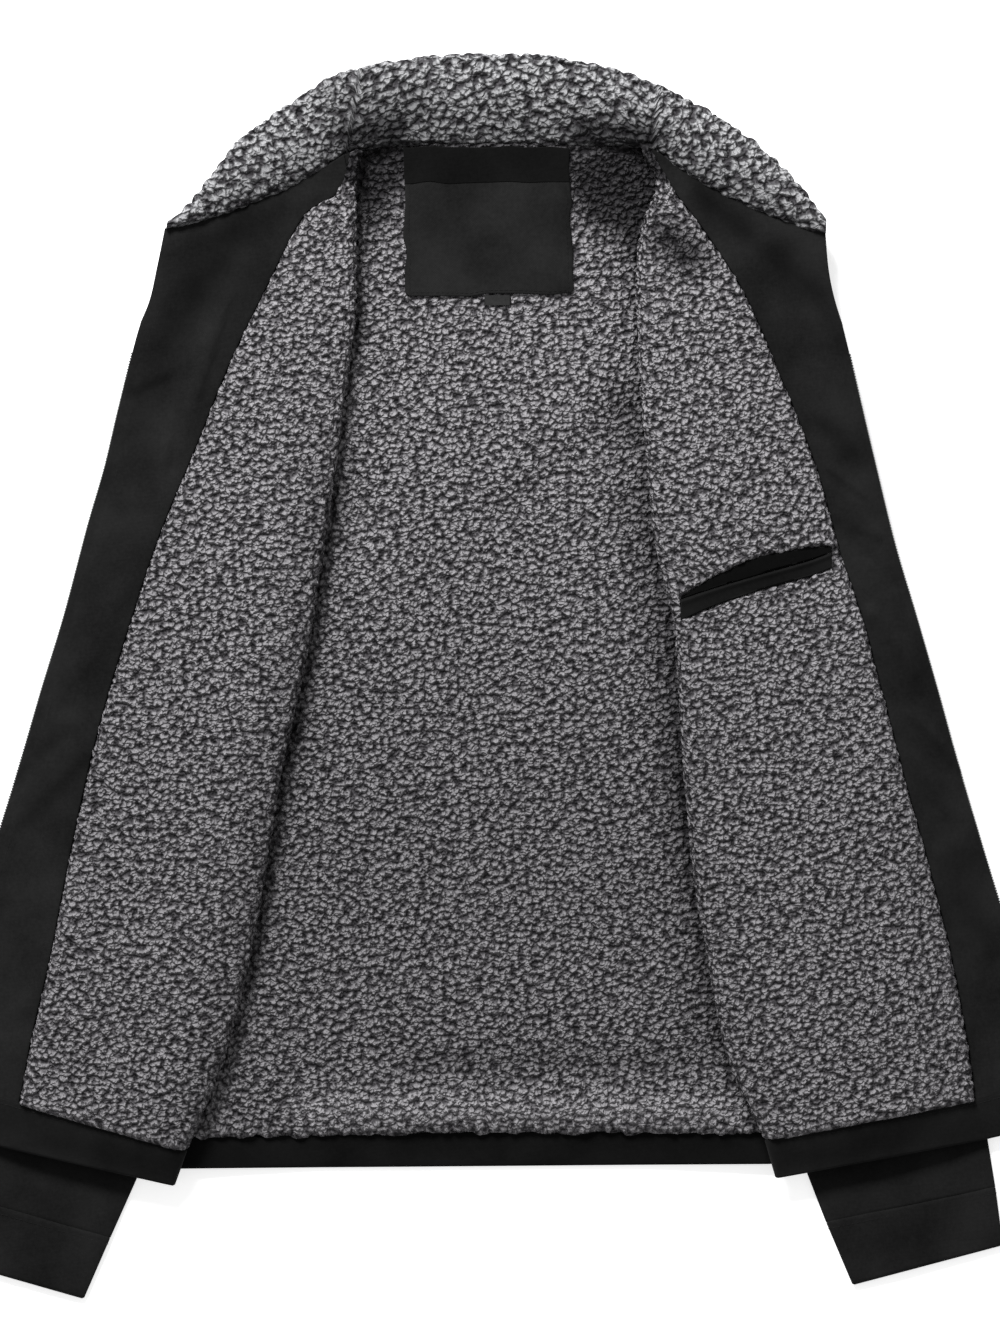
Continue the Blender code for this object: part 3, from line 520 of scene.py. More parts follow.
def crumbs(x: Array, y: Array, size: float, seed: int) -> Array:
    """Height of curled pile from 0 in its hollows to 1 on its crumbs.

    Each cell of a lattice holds one crumb at a random place, stretched a random way,
    whose height falls with the square of the distance from it. The crumbs are blended
    by the logarithm of the sum of their bells, which rounds the hollows between them,
    and the whole is bent by smooth noise so that no crumb is an even oval.

    Args:
        x: Positions across the cloth, in millimetres.
        y: Positions along the cloth.
        size: Mean distance between crumbs.
        seed: Picks the random values.

    Returns:
        The height at each position.
    """
    made = np.random.default_rng(seed)
    cells = (LATTICE, LATTICE)
    jitter_x, jitter_y = made.uniform(-CRUMB_STRAY, CRUMB_STRAY, (2, *cells))
    turn = made.uniform(-CRUMB_TURN, CRUMB_TURN, cells)
    stretch = made.uniform(1.0, CRUMB_STRETCH, cells)
    tall = made.uniform(-CRUMB_UNEVEN, CRUMB_UNEVEN, cells)
    px = x / size * CRUMB_CELLS[0]
    py = y / size * CRUMB_CELLS[1]
    for reach, share, turned in ((2.1, 0.3, 1), (0.8, 0.14, 3)):
        px = px + share * blurred_noise(x, y, reach * size, seed + turned)
        py = py + share * blurred_noise(x, y, reach * size, seed + turned + 1)
    column = np.floor(px).astype(int)
    row = np.floor(py).astype(int)
    total = np.zeros(np.shape(px))
    for step_y in (-1, 0, 1):
        for step_x in (-1, 0, 1):
            c = (column + step_x) % LATTICE
            r = (row + step_y) % LATTICE
            away_x = px - (column + step_x + 0.5 + jitter_x[r, c])
            away_y = py - (row + step_y + 0.5 + jitter_y[r, c])
            cos = np.cos(turn[r, c])
            sin = np.sin(turn[r, c])
            along = (away_x * cos + away_y * sin) / stretch[r, c]
            across = (away_y * cos - away_x * sin) * stretch[r, c]
            total = total + np.exp(CRUMB_BLEND * (tall[r, c] - along**2 - across**2))
    low = -np.log(total) / CRUMB_BLEND
    return np.clip(1.0 - (low - CRUMB_TOP) / CRUMB_FALL, 0.0, 1.0)


# Painted shade on the pile towards the hem: how deep, from which height, and over how far.
HEM_DARK = 0.27
HEM_DARK_START = 190.0
HEM_DARK_RAMP = 330.0


class Pile(NamedTuple):
    """A sherpa's crumbs: their size, how deep its cracks go, and how high they stand."""

    size: float
    deep: float
    proud: float


LINING_PILE = Pile(5.0, 1.2, 0.6)
COLLAR_PILE = Pile(6.2, 1.8, 1.0)


def tufted(points: Array, lay: Array, mask: Array, pile: Pile, seed: int) -> tuple[Array, Array]:
    """Moves a grid of points along its own normals by the height of curled pile.

    The normal is the cross product of the grid's two directions, turned outwards by
    the way the grid runs. Height is the crumbs', swelling a little from place to place.

    Args:
        points: Grid of corners, columns running so that the cross product is outward.
        lay: Position of each over the cloth as if it lay flat, in millimetres.
        mask: How much of the pile shows, up to 1, and below 0 where normals point in.
        pile: The pile's sizes.
        seed: Picks the random values.

    Returns:
        The moved points, and the pile's height from 0 to 1 at each.
    """
    normal = unit(np.cross(np.gradient(points, axis=1), np.gradient(points, axis=0)))
    height = crumbs(lay[..., 0], lay[..., 1], pile.size, seed)
    lift = (pile.deep + pile.proud) * height - pile.deep
    shown = np.abs(mask)
    return points + normal * (lift * mask)[..., None], height * shown + 0.5 * (1.0 - shown)


def hem_shade(y: Array) -> Array:
    """Painted shade on the pile, deeper and deeper towards the hem."""
    return HEM_DARK * smooth((HEM_DARK_START - y) / HEM_DARK_RAMP)


def lay_of(plan: Array) -> Array:
    """Plan points in metres, with a third number of 0, as an attribute for the finishes."""
    return raised(plan[..., :2] * MM, np.zeros(plan.shape[:-1]))


def linear(code: str) -> tuple[float, float, float]:
    """The linear colour of an sRGB hex value such as #2a2a2c."""
    parts = [int(code[i : i + 2], 16) / 255.0 for i in (1, 3, 5)]
    return tuple(p / 12.92 if p <= 0.04045 else ((p + 0.055) / 1.055) ** 2.4 for p in parts)


def add_node(
    tree: Tree, kind: str, settings: Optional[dict] = None, stops: Sequence = (), **inputs
) -> bpy.types.Node:
    """Adds a node with its settings, colour stops and links.

    Args:
        tree: The material's node tree.
        kind: The node's type.
        settings: Properties of the node itself.
        stops: (place, hex colour) pairs, for a node with a colour ramp.
        inputs: Values or output sockets for its inputs, with _ for a space, or i and a number.

    Returns:
        The node.
    """
    made = tree.nodes.new(kind)
    for name, value in (settings or {}).items():
        setattr(made, name, value)
    for number, (place, code) in enumerate(stops):
        points = made.color_ramp.elements
        point = points[number] if number < len(points) else points.new(place)
        point.position = place
        point.color = (*linear(code), 1.0)
    for name, value in inputs.items():
        place = int(name[1:]) if name[0] == "i" and name[1:].isdigit() else name.replace("_", " ")
        if isinstance(value, Socket):
            tree.links.new(value, made.inputs[place])
        else:
            made.inputs[place].default_value = value
    return made

def calculated(tree: Tree, operation: str, *values, kind: str = "Math") -> Socket:
    """The result of a Math or VectorMath node for its values, numbers or sockets."""
    inputs = {f"i{number}": value for number, value in enumerate(values)}
    return add_node(tree, f"ShaderNode{kind}", {"operation": operation}, **inputs).outputs[0]

def noise(
    tree: Tree,
    where: Socket,
    size_mm: float,
    detail: float,
    output: str = "Fac",
    flat: bool = False,
    **others: float,
) -> Socket:
    """Noise with lumps of a size in millimetres.

    Args:
        tree: The material's tree.
        where: Coordinates.
        size_mm: Size of its largest lumps.
        detail: How many finer layers it has.
        output: Fac for one number, Color for three.
        flat: Whether it is noise in the plane only.
        others: Its other inputs.

    Returns:
        The output.
    """
    settings = {"noise_dimensions": "2D"} if flat else {}
    inputs = {"Vector": where, "Scale": 1.0 / (size_mm * MM), "Detail": detail, **others}
    return add_node(tree, "ShaderNodeTexNoise", settings, **inputs).outputs[output]

def own(tree: Tree, name: str, output: str = "Fac") -> Socket:
    """The piece's own attribute of a name, 0 where it has none."""
    return add_node(tree, "ShaderNodeAttribute", {"attribute_name": name}).outputs[output]

def add_bump(
    tree: Tree, shader: bpy.types.Node, height: Socket, strength: float, stand_mm: float
) -> None:
    """Bends a shader's normals by a height that stands up by some millimetres."""
    inputs = {"Height": height, "Strength": strength, "Distance": stand_mm * MM}
    bump = add_node(tree, "ShaderNodeBump", **inputs)
    tree.links.new(bump.outputs["Normal"], shader.inputs["Normal"])


def start_material(
    name: str, rough: float, **fixed: float
) -> tuple[bpy.types.Material, Tree, bpy.types.Node, Socket]:
    """A material with a Principled shader whose uniform values are set on it.

    Args:
        name: What the material is.
        rough: Roughness.
        fixed: Other uniform inputs, with _ for a space.

    Returns:
        The material, its tree, its shader and its Object coordinates.
    """
    material = bpy.data.materials.new(name)
    material.use_nodes = True
    tree = material.node_tree
    shader = tree.nodes["Principled BSDF"]
    shader.inputs["Roughness"].default_value = rough
    for key, value in fixed.items():
        shader.inputs[key.replace("_", " ")].default_value = value
    where = add_node(tree, "ShaderNodeTexCoord").outputs["Object"]
    return material, tree, shader, where


def shaded(tree: Tree, colour: Socket, shadow: str) -> Socket:
    """A colour taken towards its painted shadow by the piece's own attribute of painted shade.

    Args:
        tree: The material's tree.
        colour: The colour where no shade is painted.
        shadow: The colour of the deepest painted shade.

    Returns:
        The mixed colour.
    """
    settings = {"data_type": "RGBA", "blend_type": "MIX"}
    inputs = {"i0": own(tree, "hollow"), "i6": colour, "i7": (*linear(shadow), 1.0)}
    return add_node(tree, "ShaderNodeMix", settings, **inputs).outputs[2]


@dataclass(frozen=True)
class SherpaFinish:
    """Curled polyester sherpa: packed mid-grey crumbs of mixed fibre, with painted shade between
    them.
    """

    name: str = "heather_sherpa_fleece"
    crumb_mm: float = 4.4
    tuft_mm: float = 3.4
    fibre_mm: float = 0.9
    stand_mm: float = 5.3
    # Painted shade mixes towards the first colour; the ramp runs from painted shade in the cracks
    # up to the tips.
    shadow: str = "#171618"
    crack_shade: str = "#302f31"
    deep: str = "#525053"
    body: str = "#6e6c6f"
    # The tips' colour is the crumbs' own pale grey, lifted by painted light.
    tip: str = "#9c9a9d"
    stops: tuple[float, float, float, float] = (0.62, 0.88, 1.2, 1.65)
    ground: float = 1.05
    fibre_share: float = 0.1
    tuft_share: float = 1.28
    crumb_share: float = -2.4
    pile_share: float = 0.15

    def domes(self, tree: Tree, where: Socket) -> Socket:
        """Square of the distance to the nearest crumb's middle, in crumbs bent by noise.

        Crumbs are a seventh wider than they are long, as brushed pile lies, and the
        deepest places between three of them are filled a little.

        Args:
            tree: The material's tree.
            where: Coordinates over the cloth.

        Returns:
            The squared distance, 0 on a crumb's top.
        """
        wobble = noise(tree, where, self.crumb_mm / 1.2, 1.0, "Color", flat=True)
        bend = (self.crumb_mm * MM * 0.8,) * 3
        bent = calculated(tree, "MULTIPLY_ADD", wobble, bend, where, kind="VectorMath")
        spread = calculated(tree, "MULTIPLY", bent, (0.98, 1.12, 1.0), kind="VectorMath")
        settings = {"feature": "F1", "voronoi_dimensions": "2D"}
        inputs = {"Vector": spread, "Scale": 1.0 / (self.crumb_mm * MM), "Randomness": 0.95}
        away = add_node(tree, "ShaderNodeTexVoronoi", settings, **inputs).outputs["Distance"]
        square = calculated(tree, "MULTIPLY", away, away)
        return calculated(tree, "SMOOTH_MIN", square, 0.42, 0.1)

    def make(self) -> bpy.types.Material:
        """Colour and bump from large crumbs, smaller curls on them, and their fibres."""
        material, tree, shader, where = start_material(self.name, 0.95, Specular_IOR_Level=0.08)
        lay = own(tree, "lay", "Vector")
        layers = (
            (noise(tree, where, self.fibre_mm, 2.0), self.fibre_share),
            (noise(tree, lay, self.tuft_mm, 1.0, flat=True), self.tuft_share),
            (self.domes(tree, lay), self.crumb_share),
        )
        relief = self.ground
        for layer, share in layers:
            relief = calculated(tree, "MULTIPLY_ADD", layer, share, relief)
        mixed = calculated(tree, "MULTIPLY_ADD", own(tree, "pile"), self.pile_share, relief)
        # The ramp paints shade low in the relief and light on the crumbs' tops.
        most = self.stops[-1] * 1.2
        codes = (self.crack_shade, self.deep, self.body, self.tip)
        stops = tuple((place / most, code) for place, code in zip(self.stops, codes))
        place = calculated(tree, "DIVIDE", mixed, most)
        colour = add_node(tree, "ShaderNodeValToRGB", stops=stops, Fac=place).outputs["Color"]
        tree.links.new(shaded(tree, colour, self.shadow), shader.inputs["Base Color"])
        add_bump(tree, shader, relief, 1.0, self.stand_mm)
        return material

class Weave(Enum):
    """How a black cloth's threads cross."""

    CANVAS = "canvas"
    TWILL = "twill"
    RIB = "rib"


@dataclass(frozen=True)
class ClothFinish:
    """Dyed cotton: a matt, brushed face that shows its threads only as a fine grain."""

    name: str
    weave: Weave
    colour: str
    worn: str
    thread_mm: float = 0.9
    rough: float = 0.9
    sheen: float = 0.02
    # The colour that painted shade mixes towards.
    shadow: str = "#020202"
    nap_mm: float = 1.0 / 0.42
    cloud_mm: float = 1.0 / 0.026

    def threads(self, tree: Tree, where: Socket) -> Socket:
        """Height of the threads: two sets of bands, crossed or slanting, or one for a rib.

        The real thread spacing is about 0.5 mm; it is drawn coarser so that it shows.

        Args:
            tree: The material's tree.
            where: Object coordinates.

        Returns:
            The height output.
        """
        turn = math.radians(45.0 if self.weave is Weave.TWILL else 3.0)
        turned = add_node(tree, "ShaderNodeMapping", Vector=where, Rotation=(0.0, 0.0, turn))
        scale = 1.0 / (self.thread_mm * MM) * math.pi / 10.0
        inputs = {"Vector": turned.outputs[0], "Scale": scale, "Distortion": 0.6, "Detail": 2.0}
        bands = []
        for way in ("X" if self.weave is Weave.RIB else "XY"):
            settings = {"wave_type": "BANDS", "bands_direction": way, "wave_profile": "SIN"}
            bands.append(add_node(tree, "ShaderNodeTexWave", settings, **inputs).outputs["Fac"])
        return bands[0] if len(bands) == 1 else calculated(tree, "MULTIPLY", *bands)

    def make(self) -> bpy.types.Material:
        """Near-even colour, paler where it is rubbed and darkened by painted shade, with thread
        grain and nap as bump.
        """
        fixed = {"Sheen_Weight": self.sheen, "Sheen_Roughness": 0.5, "Specular_IOR_Level": 0.04}
        material, tree, shader, where = start_material(self.name, self.rough, **fixed)
        nap = noise(tree, where, self.nap_mm, 4.0, Roughness=0.65)
        cloud = noise(tree, where, self.cloud_mm, 3.0)
        mixed = calculated(tree, "MULTIPLY_ADD", nap, 0.5, cloud)
        stops = ((0.5, self.colour), (1.0, self.worn))
        colour = add_node(tree, "ShaderNodeValToRGB", stops=stops, Fac=mixed).outputs["Color"]
        tree.links.new(shaded(tree, colour, self.shadow), shader.inputs["Base Color"])
        height = calculated(tree, "MULTIPLY_ADD", nap, 0.6, self.threads(tree, where))
        add_bump(tree, shader, height, 0.35, 0.25)
        return material

@dataclass(frozen=True)
class HardFinish:
    """Moulded resin or enamelled die-cast metal: smooth, with faint handling marks."""

    name: str
    colour: str
    rough: float
    metallic: float = 0.0
    marks_mm: float = 1.0 / 0.9

    def make(self) -> bpy.types.Material:
        """Even colour with a slightly uneven gloss."""
        fixed = {"Metallic": self.metallic}
        material, tree, shader, where = start_material(self.name, self.rough, **fixed)
        shader.inputs["Base Color"].default_value = (*linear(self.colour), 1.0)
        marks = noise(tree, where, self.marks_mm, 4.0)
        gloss = calculated(tree, "MULTIPLY_ADD", marks, 0.3, self.rough - 0.15)
        tree.links.new(gloss, shader.inputs["Roughness"])
        add_bump(tree, shader, marks, 0.2, 0.05)
        return material

Finish = Union[SherpaFinish, ClothFinish, HardFinish]

# Soft black cotton with a dull, even face.
CANVAS = ClothFinish("brushed_cotton_canvas", Weave.CANVAS, "#121212", "#202020")
# The same cotton, a shade paler where it is rubbed, with painted shade in the facings' folds.
FACING_CANVAS = ClothFinish("facing_canvas", Weave.CANVAS, "#121212", "#222222")
# Double cloth pressed flat: the blackest, with hardly any grain.
BAND_CANVAS = ClothFinish("hem_band_canvas", Weave.CANVAS, "#090909", "#131313")
# The same double cloth with painted light where it leans to the light: a little paler than the
# back's band.
PAINTED_LIGHT_BAND_CANVAS = ClothFinish("front_hem_band_canvas_painted_light", Weave.CANVAS, "#101010", "#1c1c1c")
# A coarser, slanting weave, slightly greyer than the canvas.
TWILL = ClothFinish("neck_patch_twill", Weave.TWILL, "#141414", "#242424", thread_mm=1.1)
# Dense ribs with a faint gloss.
TAPE = ClothFinish("woven_zip_tape", Weave.RIB, "#0a0a0a", "#141414", thread_mm=0.8, rough=0.75)
# The patch's weave, with painted shade for lying in the pile.
WELT_TWILL = ClothFinish("pocket_welt_twill", Weave.TWILL, "#0d0d0d", "#181818", thread_mm=1.1)
# Thin lining cloth behind the pocket's mouth, in painted shade: nearly black.
SHADED_POCKETING = ClothFinish("pocketing_painted_shade", Weave.TWILL, "#050505", "#0c0c0c", thread_mm=0.8)
# Fine ribs, greyer than all the cloth round it.
LABEL = ClothFinish("woven_label_tape", Weave.RIB, "#1e1e1e", "#303030", thread_mm=0.7, rough=0.7)
# Round, slightly glossy yarn that stands out from the cloth only by its light.
THREAD = ClothFinish(
    "spun_polyester_thread", Weave.RIB, "#161616", "#242424", thread_mm=0.4, rough=0.6
)
# Packed grey curls.
SHERPA_FINISH = SherpaFinish()
# Longer curls, painted paler for the light that the collar's roll catches.
COLLAR_FINISH = SherpaFinish(
    "long_sherpa_fleece_painted_light", 5.6, 4.2, stand_mm=6.0, body="#747476", tip="#aeaeb0"
)
# Dark resin with a soft gloss.
RESIN = HardFinish("moulded_acetal_teeth", "#0d0d0d", 0.5)
# Black enamel with a metal's tighter gloss.
ENAMEL = HardFinish("black_enamelled_zinc", "#161616", 0.4, 0.5)

FINISHES: dict[str, bpy.types.Material] = {}


def dressed(finish: Finish) -> bpy.types.Material:
    """The material of a finish, made once."""
    if finish.name not in FINISHES:
        FINISHES[finish.name] = finish.make()
    return FINISHES[finish.name]


def grid_faces(numbers: Array) -> Array:
    """A quad for each cell of a grid of corner numbers."""
    a = numbers[:-1, :-1].ravel()
    b = numbers[:-1, 1:].ravel()
    c = numbers[1:, 1:].ravel()
    d = numbers[1:, :-1].ravel()
    return np.stack([a, b, c, d], axis=1)


def outward(points: Array, quads: Array) -> Array:
    """Quads turned so that the volume inside them counts as positive.

    Each quad gives two tetrahedra with the shape's middle, whose signed volumes add up.
    """
    corners = points.reshape(-1, 3) - points.reshape(-1, 3).mean(axis=0)
    a, b, c, d = (corners[quads[:, i]] for i in range(4))
    volume = np.sum(a * np.cross(b, c)) + np.sum(a * np.cross(c, d))
    return quads if volume > 0 else quads[:, ::-1]


def put(name: str, data: bpy.types.ID) -> bpy.types.Object:
    """A new object with its data, in the scene."""
    obj = bpy.data.objects.new(name, data)
    bpy.context.scene.collection.objects.link(obj)
    return obj

def make_piece(
    name: str,
    points: Array,
    faces: list,
    finish: Finish,
    slot: str,
    nodes: Sequence[str],
    **values: Array,
) -> bpy.types.Object:
    """A finished piece of the jacket, riding on its body.

    Args:
        name: The piece's name.
        points: Its corners in millimetres.
        faces: Lists of corner numbers, turned outwards.
        finish: Its finish.
        slot: Not used.
        nodes: The solids that it stands for.
        values: A number or a vector for each corner, kept as an attribute of that name.

    Returns:
        The object.
    """
    mesh = bpy.data.meshes.new(name)
    placed = (points.reshape(-1, 3) + np.array([*CENTRE_SHIFT, 0.0])) * MM
    mesh.from_pydata(placed.tolist(), [], faces)
    for key, value in values.items():
        kind, field_name = ("FLOAT_VECTOR", "vector") if value.ndim == 3 else ("FLOAT", "value")
        attribute = mesh.attributes.new(key, kind, "POINT")
        attribute.data.foreach_set(field_name, value.astype(np.float32).ravel())
    mesh.shade_smooth()
    mesh.materials.append(dressed(finish))
    obj = put(name, mesh)
    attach(obj, BODY)
    if nodes:
        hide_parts(*nodes)
    return obj


def cap(ring: Array, numbers: Array, split: int) -> list[list[int]]:
    """Faces across one end of a loft, between its ring's upper and lower chain.

    Each point of the lower chain meets the upper point at the same share of the
    length, so that a face spans only what lies above one step of the lower chain.

    Args:
        ring: The ring's corners, the upper chain first and the lower one back from its end.
        numbers: Their corner numbers.
        split: How many of them are the upper chain's.

    Returns:
        The faces, running the same way as the ring.
    """
    upper = run_length(ring[:split], 0)
    lower = run_length(ring[split:][::-1], 0)
    spots = np.searchsorted(upper / upper[-1], lower[1:-1] / lower[-1])
    spots = [0, *spots.tolist(), split - 1]
    below = numbers[split:][::-1].tolist()
    above = numbers[:split].tolist()
    steps = zip(spots, spots[1:], below, below[1:])
    return [[*above[a : b + 1], ahead, behind] for a, b, behind, ahead in steps]


def loft(
    name: str,
    rings: Array,
    finish: Finish,
    slot: str,
    nodes: Sequence[str],
    split: int = 0,
    **values: Array,
) -> bpy.types.Object:
    """A closed piece through rings of corners, each end closed between its two chains.

    Args:
        name: The piece's name.
        rings: Rings of corners, each its upper chain and then its lower one back.
        finish: Its finish.
        slot: Passed to the piece, which does not use it.
        nodes: The solids that it stands for.
        split: How many corners of a ring are the upper chain's, or 0 for half of them.
        values: Attributes, as for a piece.

    Returns:
        The object.
    """
    count, around = rings.shape[:2]
    split = split or around // 2
    numbers = np.arange(count * around).reshape(count, around)
    closed = np.concatenate([numbers, numbers[:, :1]], axis=1)
    quads = grid_faces(closed)
    turned = outward(rings, quads)
    first = cap(rings[0], numbers[0], split)
    last = cap(rings[-1], numbers[-1], split)
    back = first if turned is quads else last
    ahead = last if turned is quads else first
    faces = turned.tolist() + ahead + [face[::-1] for face in back]
    return make_piece(name, rings, faces, finish, slot, nodes, **values)


RIM_STEPS = 4


def soft_wall(low: Array, high: Array) -> Array:
    """Rings of a cloth wall whose four edges are rounded.

    Each edge is a half circle as thick as the wall. Across, the half circle joins the
    two surfaces at the first and the last column. Along, each end gets extra rings
    that step out to the edge as they close to a quarter of the thickness.

    Args:
        low: Grid of the under surface.
        high: Grid of the upper surface, of the same rows and columns.

    Returns:
        Rings of corners, one for each row, running over the top and back below.
    """
    middle = (low + high) / 2.0
    half = (high - low) / 2.0
    low, high = close_ends(middle, half)
    middle = (low + high) / 2.0
    half = (high - low) / 2.0
    thick = np.linalg.norm(half, axis=-1, keepdims=True)
    angle = np.linspace(math.pi / 2, -math.pi / 2, RIM_STEPS + 1)
    cos = np.cos(angle)[None, :, None]
    sin = np.sin(angle)[None, :, None]
    rims = []
    for edge, inside in ((-1, -2), (0, 1)):
        out = unit(middle[:, edge] - middle[:, inside])[:, None]
        radius = thick[:, edge][:, None]
        rim = middle[:, edge][:, None] + out * radius * (cos - 1.0) + half[:, edge][:, None] * sin
        rims.append(rim)
    return np.concatenate([high[:, 1:-1], rims[0], low[:, -2:0:-1], rims[1][:, ::-1]], axis=1)


def close_ends(middle: Array, half: Array) -> tuple[Array, Array]:
    """Rounds a wall's first and last row: extra rows step out as the wall thins."""
    angle = np.radians([14.0, 45.0, 70.0])
    rows = []
    thin = []
    for edge, inside in ((0, 1), (-1, -2)):
        out = unit(middle[edge] - middle[inside])
        radius = np.linalg.norm(half[edge], axis=-1, keepdims=True)
        steps = [middle[edge] + out * radius * (math.cos(a) - 1.0) for a in angle]
        backs = [half[edge] * math.sin(a) for a in angle]
        rows.append(steps if edge == 0 else steps[::-1])
        thin.append(backs if edge == 0 else backs[::-1])
    pull = np.concatenate([rows[0], middle[1:-1], rows[1]])
    wall = np.concatenate([thin[0], half[1:-1], thin[1]])
    return pull - wall, pull + wall


def declare(
    obj: bpy.types.Object,
    rests_on: Sequence[str],
) -> None:
    """Logs how many faces a piece has."""
    LOG.info("%s: %d faces", obj.name, len(obj.data.polygons))


class FrontPlan:
    """The plan of one front: for each row its side seam, fold, border and zip edge."""

    def __init__(self, table: Sequence[Row], sign: int, at: Array) -> None:
        """Reads the rows of a table at row numbers, on the side that sign gives."""
        self.sign = sign
        self.at = at
        points = through(table, at)
        over_hem = at > HEM_ROW
        hem = np.array(table[HEM_ROW], float)
        foot = np.array(table[BAND_ROW], float)
        points[over_hem] = hem + (at[over_hem, None] - HEM_ROW) * (foot - hem)
        self.fold = points[:, 0:2]
        self.border = points[:, 2:4]
        self.edge = points[:, 4:6]
        self.out = unit(self.edge - self.fold)
        self.inward = unit(self.border - self.fold)
        margin = ZIP_MARGIN * smooth((at - ZIP_TOP_ROW) / ZIP_FADE + 1.0)
        self.cloth_edge = self.edge - self.out * margin[:, None]
        lap = FACING_MARGIN * smooth((at - ZIP_TOP_ROW) / LAP_FADE + 1.0)
        self.lap_edge = self.edge - self.out * lap[:, None]
        self.sag = NECK_SAG * np.clip(1.0 - at / 2.0, 0.0, 1.0) ** 2
        below_neck = smooth(at / SHERPA_ROW * 2.0 - 1.0)[:, None]
        corner = self.fold + self.inward * NECK_CORNER
        self.facing_start = corner + (self.border - corner) * below_neck
        roll = SHELL_OUT + 0.5 + (LINING_OUT - SHELL_OUT - 0.5) * below_neck
        self.centre = self.fold + self.inward * roll
        self.middle = np.full(len(at), FOLD_MID)

    def reach_neck(self) -> Array:
        """Carries the sherpa's fold on to the collar, thinner and leaning over the back.

        Returns:
            How far the sherpa's outside lies from the middle of its fold, for each row.
        """
        self.neck_share = smooth(1.0 - self.at / SHERPA_ROW)
        thick = LINING_OUT - STRIP_THIN * self.neck_share
        lean = (thick - STRIP_LEAN * self.neck_share)[:, None]
        above = (self.at < SHERPA_ROW)[:, None]
        self.centre = np.where(above, self.fold + self.inward * lean, self.centre)
        wide = np.linalg.norm(self.border - self.fold, axis=1) * (1.0 - self.neck_share)
        narrow = self.fold + self.inward * (wide + STRIP_EDGE)[:, None]
        self.border = np.where(above, narrow, self.border)
        self.facing_start = np.where(above, narrow, self.facing_start)
        return thick

    def seat_band(self) -> None:
        """Draws the folded edge in to the band's own roll, and lets the band sag."""
        self.centre = self.fold + self.inward * BAND_OUT
        self.middle = FOLD_MID - BAND_SAG * smooth(self.at - HEM_ROW)

    def bowed(self, points: Array, share: Array) -> Array:
        """Points moved down by the bow of the neck seam, at a share across."""
        moved = points.copy()
        moved[..., 1] -= self.sag[:, None] * 4.0 * share * (1.0 - share)
        return moved

    def lower_plan(self, steps: int, gap: float) -> Array:
        """Plan of the lower leg, from the side seam in to the fold's centre."""
        run = self.edge - self.fold
        seam = self.edge.copy()
        for _ in range(6):
            reach = (side_seam(seam[:, 1], self.sign) - self.fold[:, 0]) / run[:, 0]
            seam = self.fold + run * np.minimum(reach, LEG_REACH)[:, None]
        seam = seam - self.out * gap
        share = np.linspace(1.0, 0.0, steps + 1)[None, :]
        points = self.centre[:, None] + (seam - self.centre)[:, None] * share[..., None]
        return self.bowed(points, share)

    def to_border(self, steps: int, gap: float) -> Array:
        """Plan of the upper leg from the fold's centre to the sherpa's border."""
        share = np.linspace(0.0, 1.0, steps + 1)[None, :, None]
        start = self.facing_start - self.inward * gap
        return self.centre[:, None] + (start - self.centre)[:, None] * share

    def to_edge(self, steps: int, gap: float, lap: bool = False) -> Array:
        """Plan of the upper leg from the sherpa's border to the cloth's edge, or onto the tape."""
        share = np.linspace(0.0, 1.0, steps + 1)[None, :]
        begin = self.facing_start + self.out * gap
        end = self.lap_edge if lap else self.cloth_edge
        points = begin[:, None] + (end - begin)[:, None] * share[..., None]
        return self.bowed(points, share)

    def upper_height(self, plan: Array, radius) -> Array:
        """Height of the upper leg's surface at a radius of the fold.

        Outside the side seam the leg sinks from its height over the fold's middle
        onto the sleeve, in an S curve; the slider holds its own corner up.
        """
        x = plan[..., 0]
        y = plan[..., 1]
        beyond = self.sign * (x - side_seam(y, self.sign))
        sunk = smooth((beyond - SINK_START) / SINK_RAMP)
        rest = SINK_REST
        if self.sign < 0:
            end = RIGHT_ROWS[BAND_ROW]
            near = np.hypot(x - end.edge_x, y - end.edge_y) / SLIDER_REACH
            rest = rest + SLIDER_HOLD * np.exp(-(near**2))
        high = (self.middle[:, None] + FOLD_IN) * (1.0 - sunk) + rest * sunk
        return base(x, y) + creased(x, y, FRONT_RIDGES + FACING_CREASES) + high + radius - FOLD_IN

    def lower_height(self, plan: Array, radius) -> Array:
        """Height of the lower leg's surface at a radius of the fold."""
        return base(plan[..., 0], plan[..., 1]) + self.middle[:, None] - radius

    def roll(self, radius, steps: int) -> Array:
        """The half turn of the fold at a radius, from the lower leg to the upper."""
        angles = np.linspace(-math.pi / 2, math.pi / 2, steps + 1)[1:-1]
        reach = np.broadcast_to(radius, (len(self.at), 1)) * np.cos(angles)[None, :]
        plan = self.centre[:, None] - self.inward[:, None] * reach[..., None]
        x = plan[..., 0]
        y = plan[..., 1]
        blend = (0.5 + 0.5 * np.sin(angles))[None, :]
        height = base(x, y) + self.middle[:, None] + creased(x, y, FRONT_RIDGES) * blend
        return raised(plan, height + radius * np.sin(angles)[None, :])

    def folded(self, radius: float, gap: float, steps: tuple[int, int, int, int]) -> Array:
        """A whole surface of the front: lower leg, roll, and upper leg to the edge."""
        lower = self.lower_plan(steps[0], gap)
        inside = self.to_border(steps[2], SEAM / 2)
        upper = np.concatenate([inside, self.to_edge(steps[3], SEAM / 2)], axis=1)
        parts = [
            raised(lower, self.lower_height(lower, radius)),
            self.roll(radius, steps[1]),
            raised(upper, self.upper_height(upper, radius)),
        ]
        return np.concatenate(parts, axis=1)


# How much of the pile stands away from a sherpa's edges, and how far in it is full.
CALM_PILE = 0.3
EDGE_PILE = 9.0
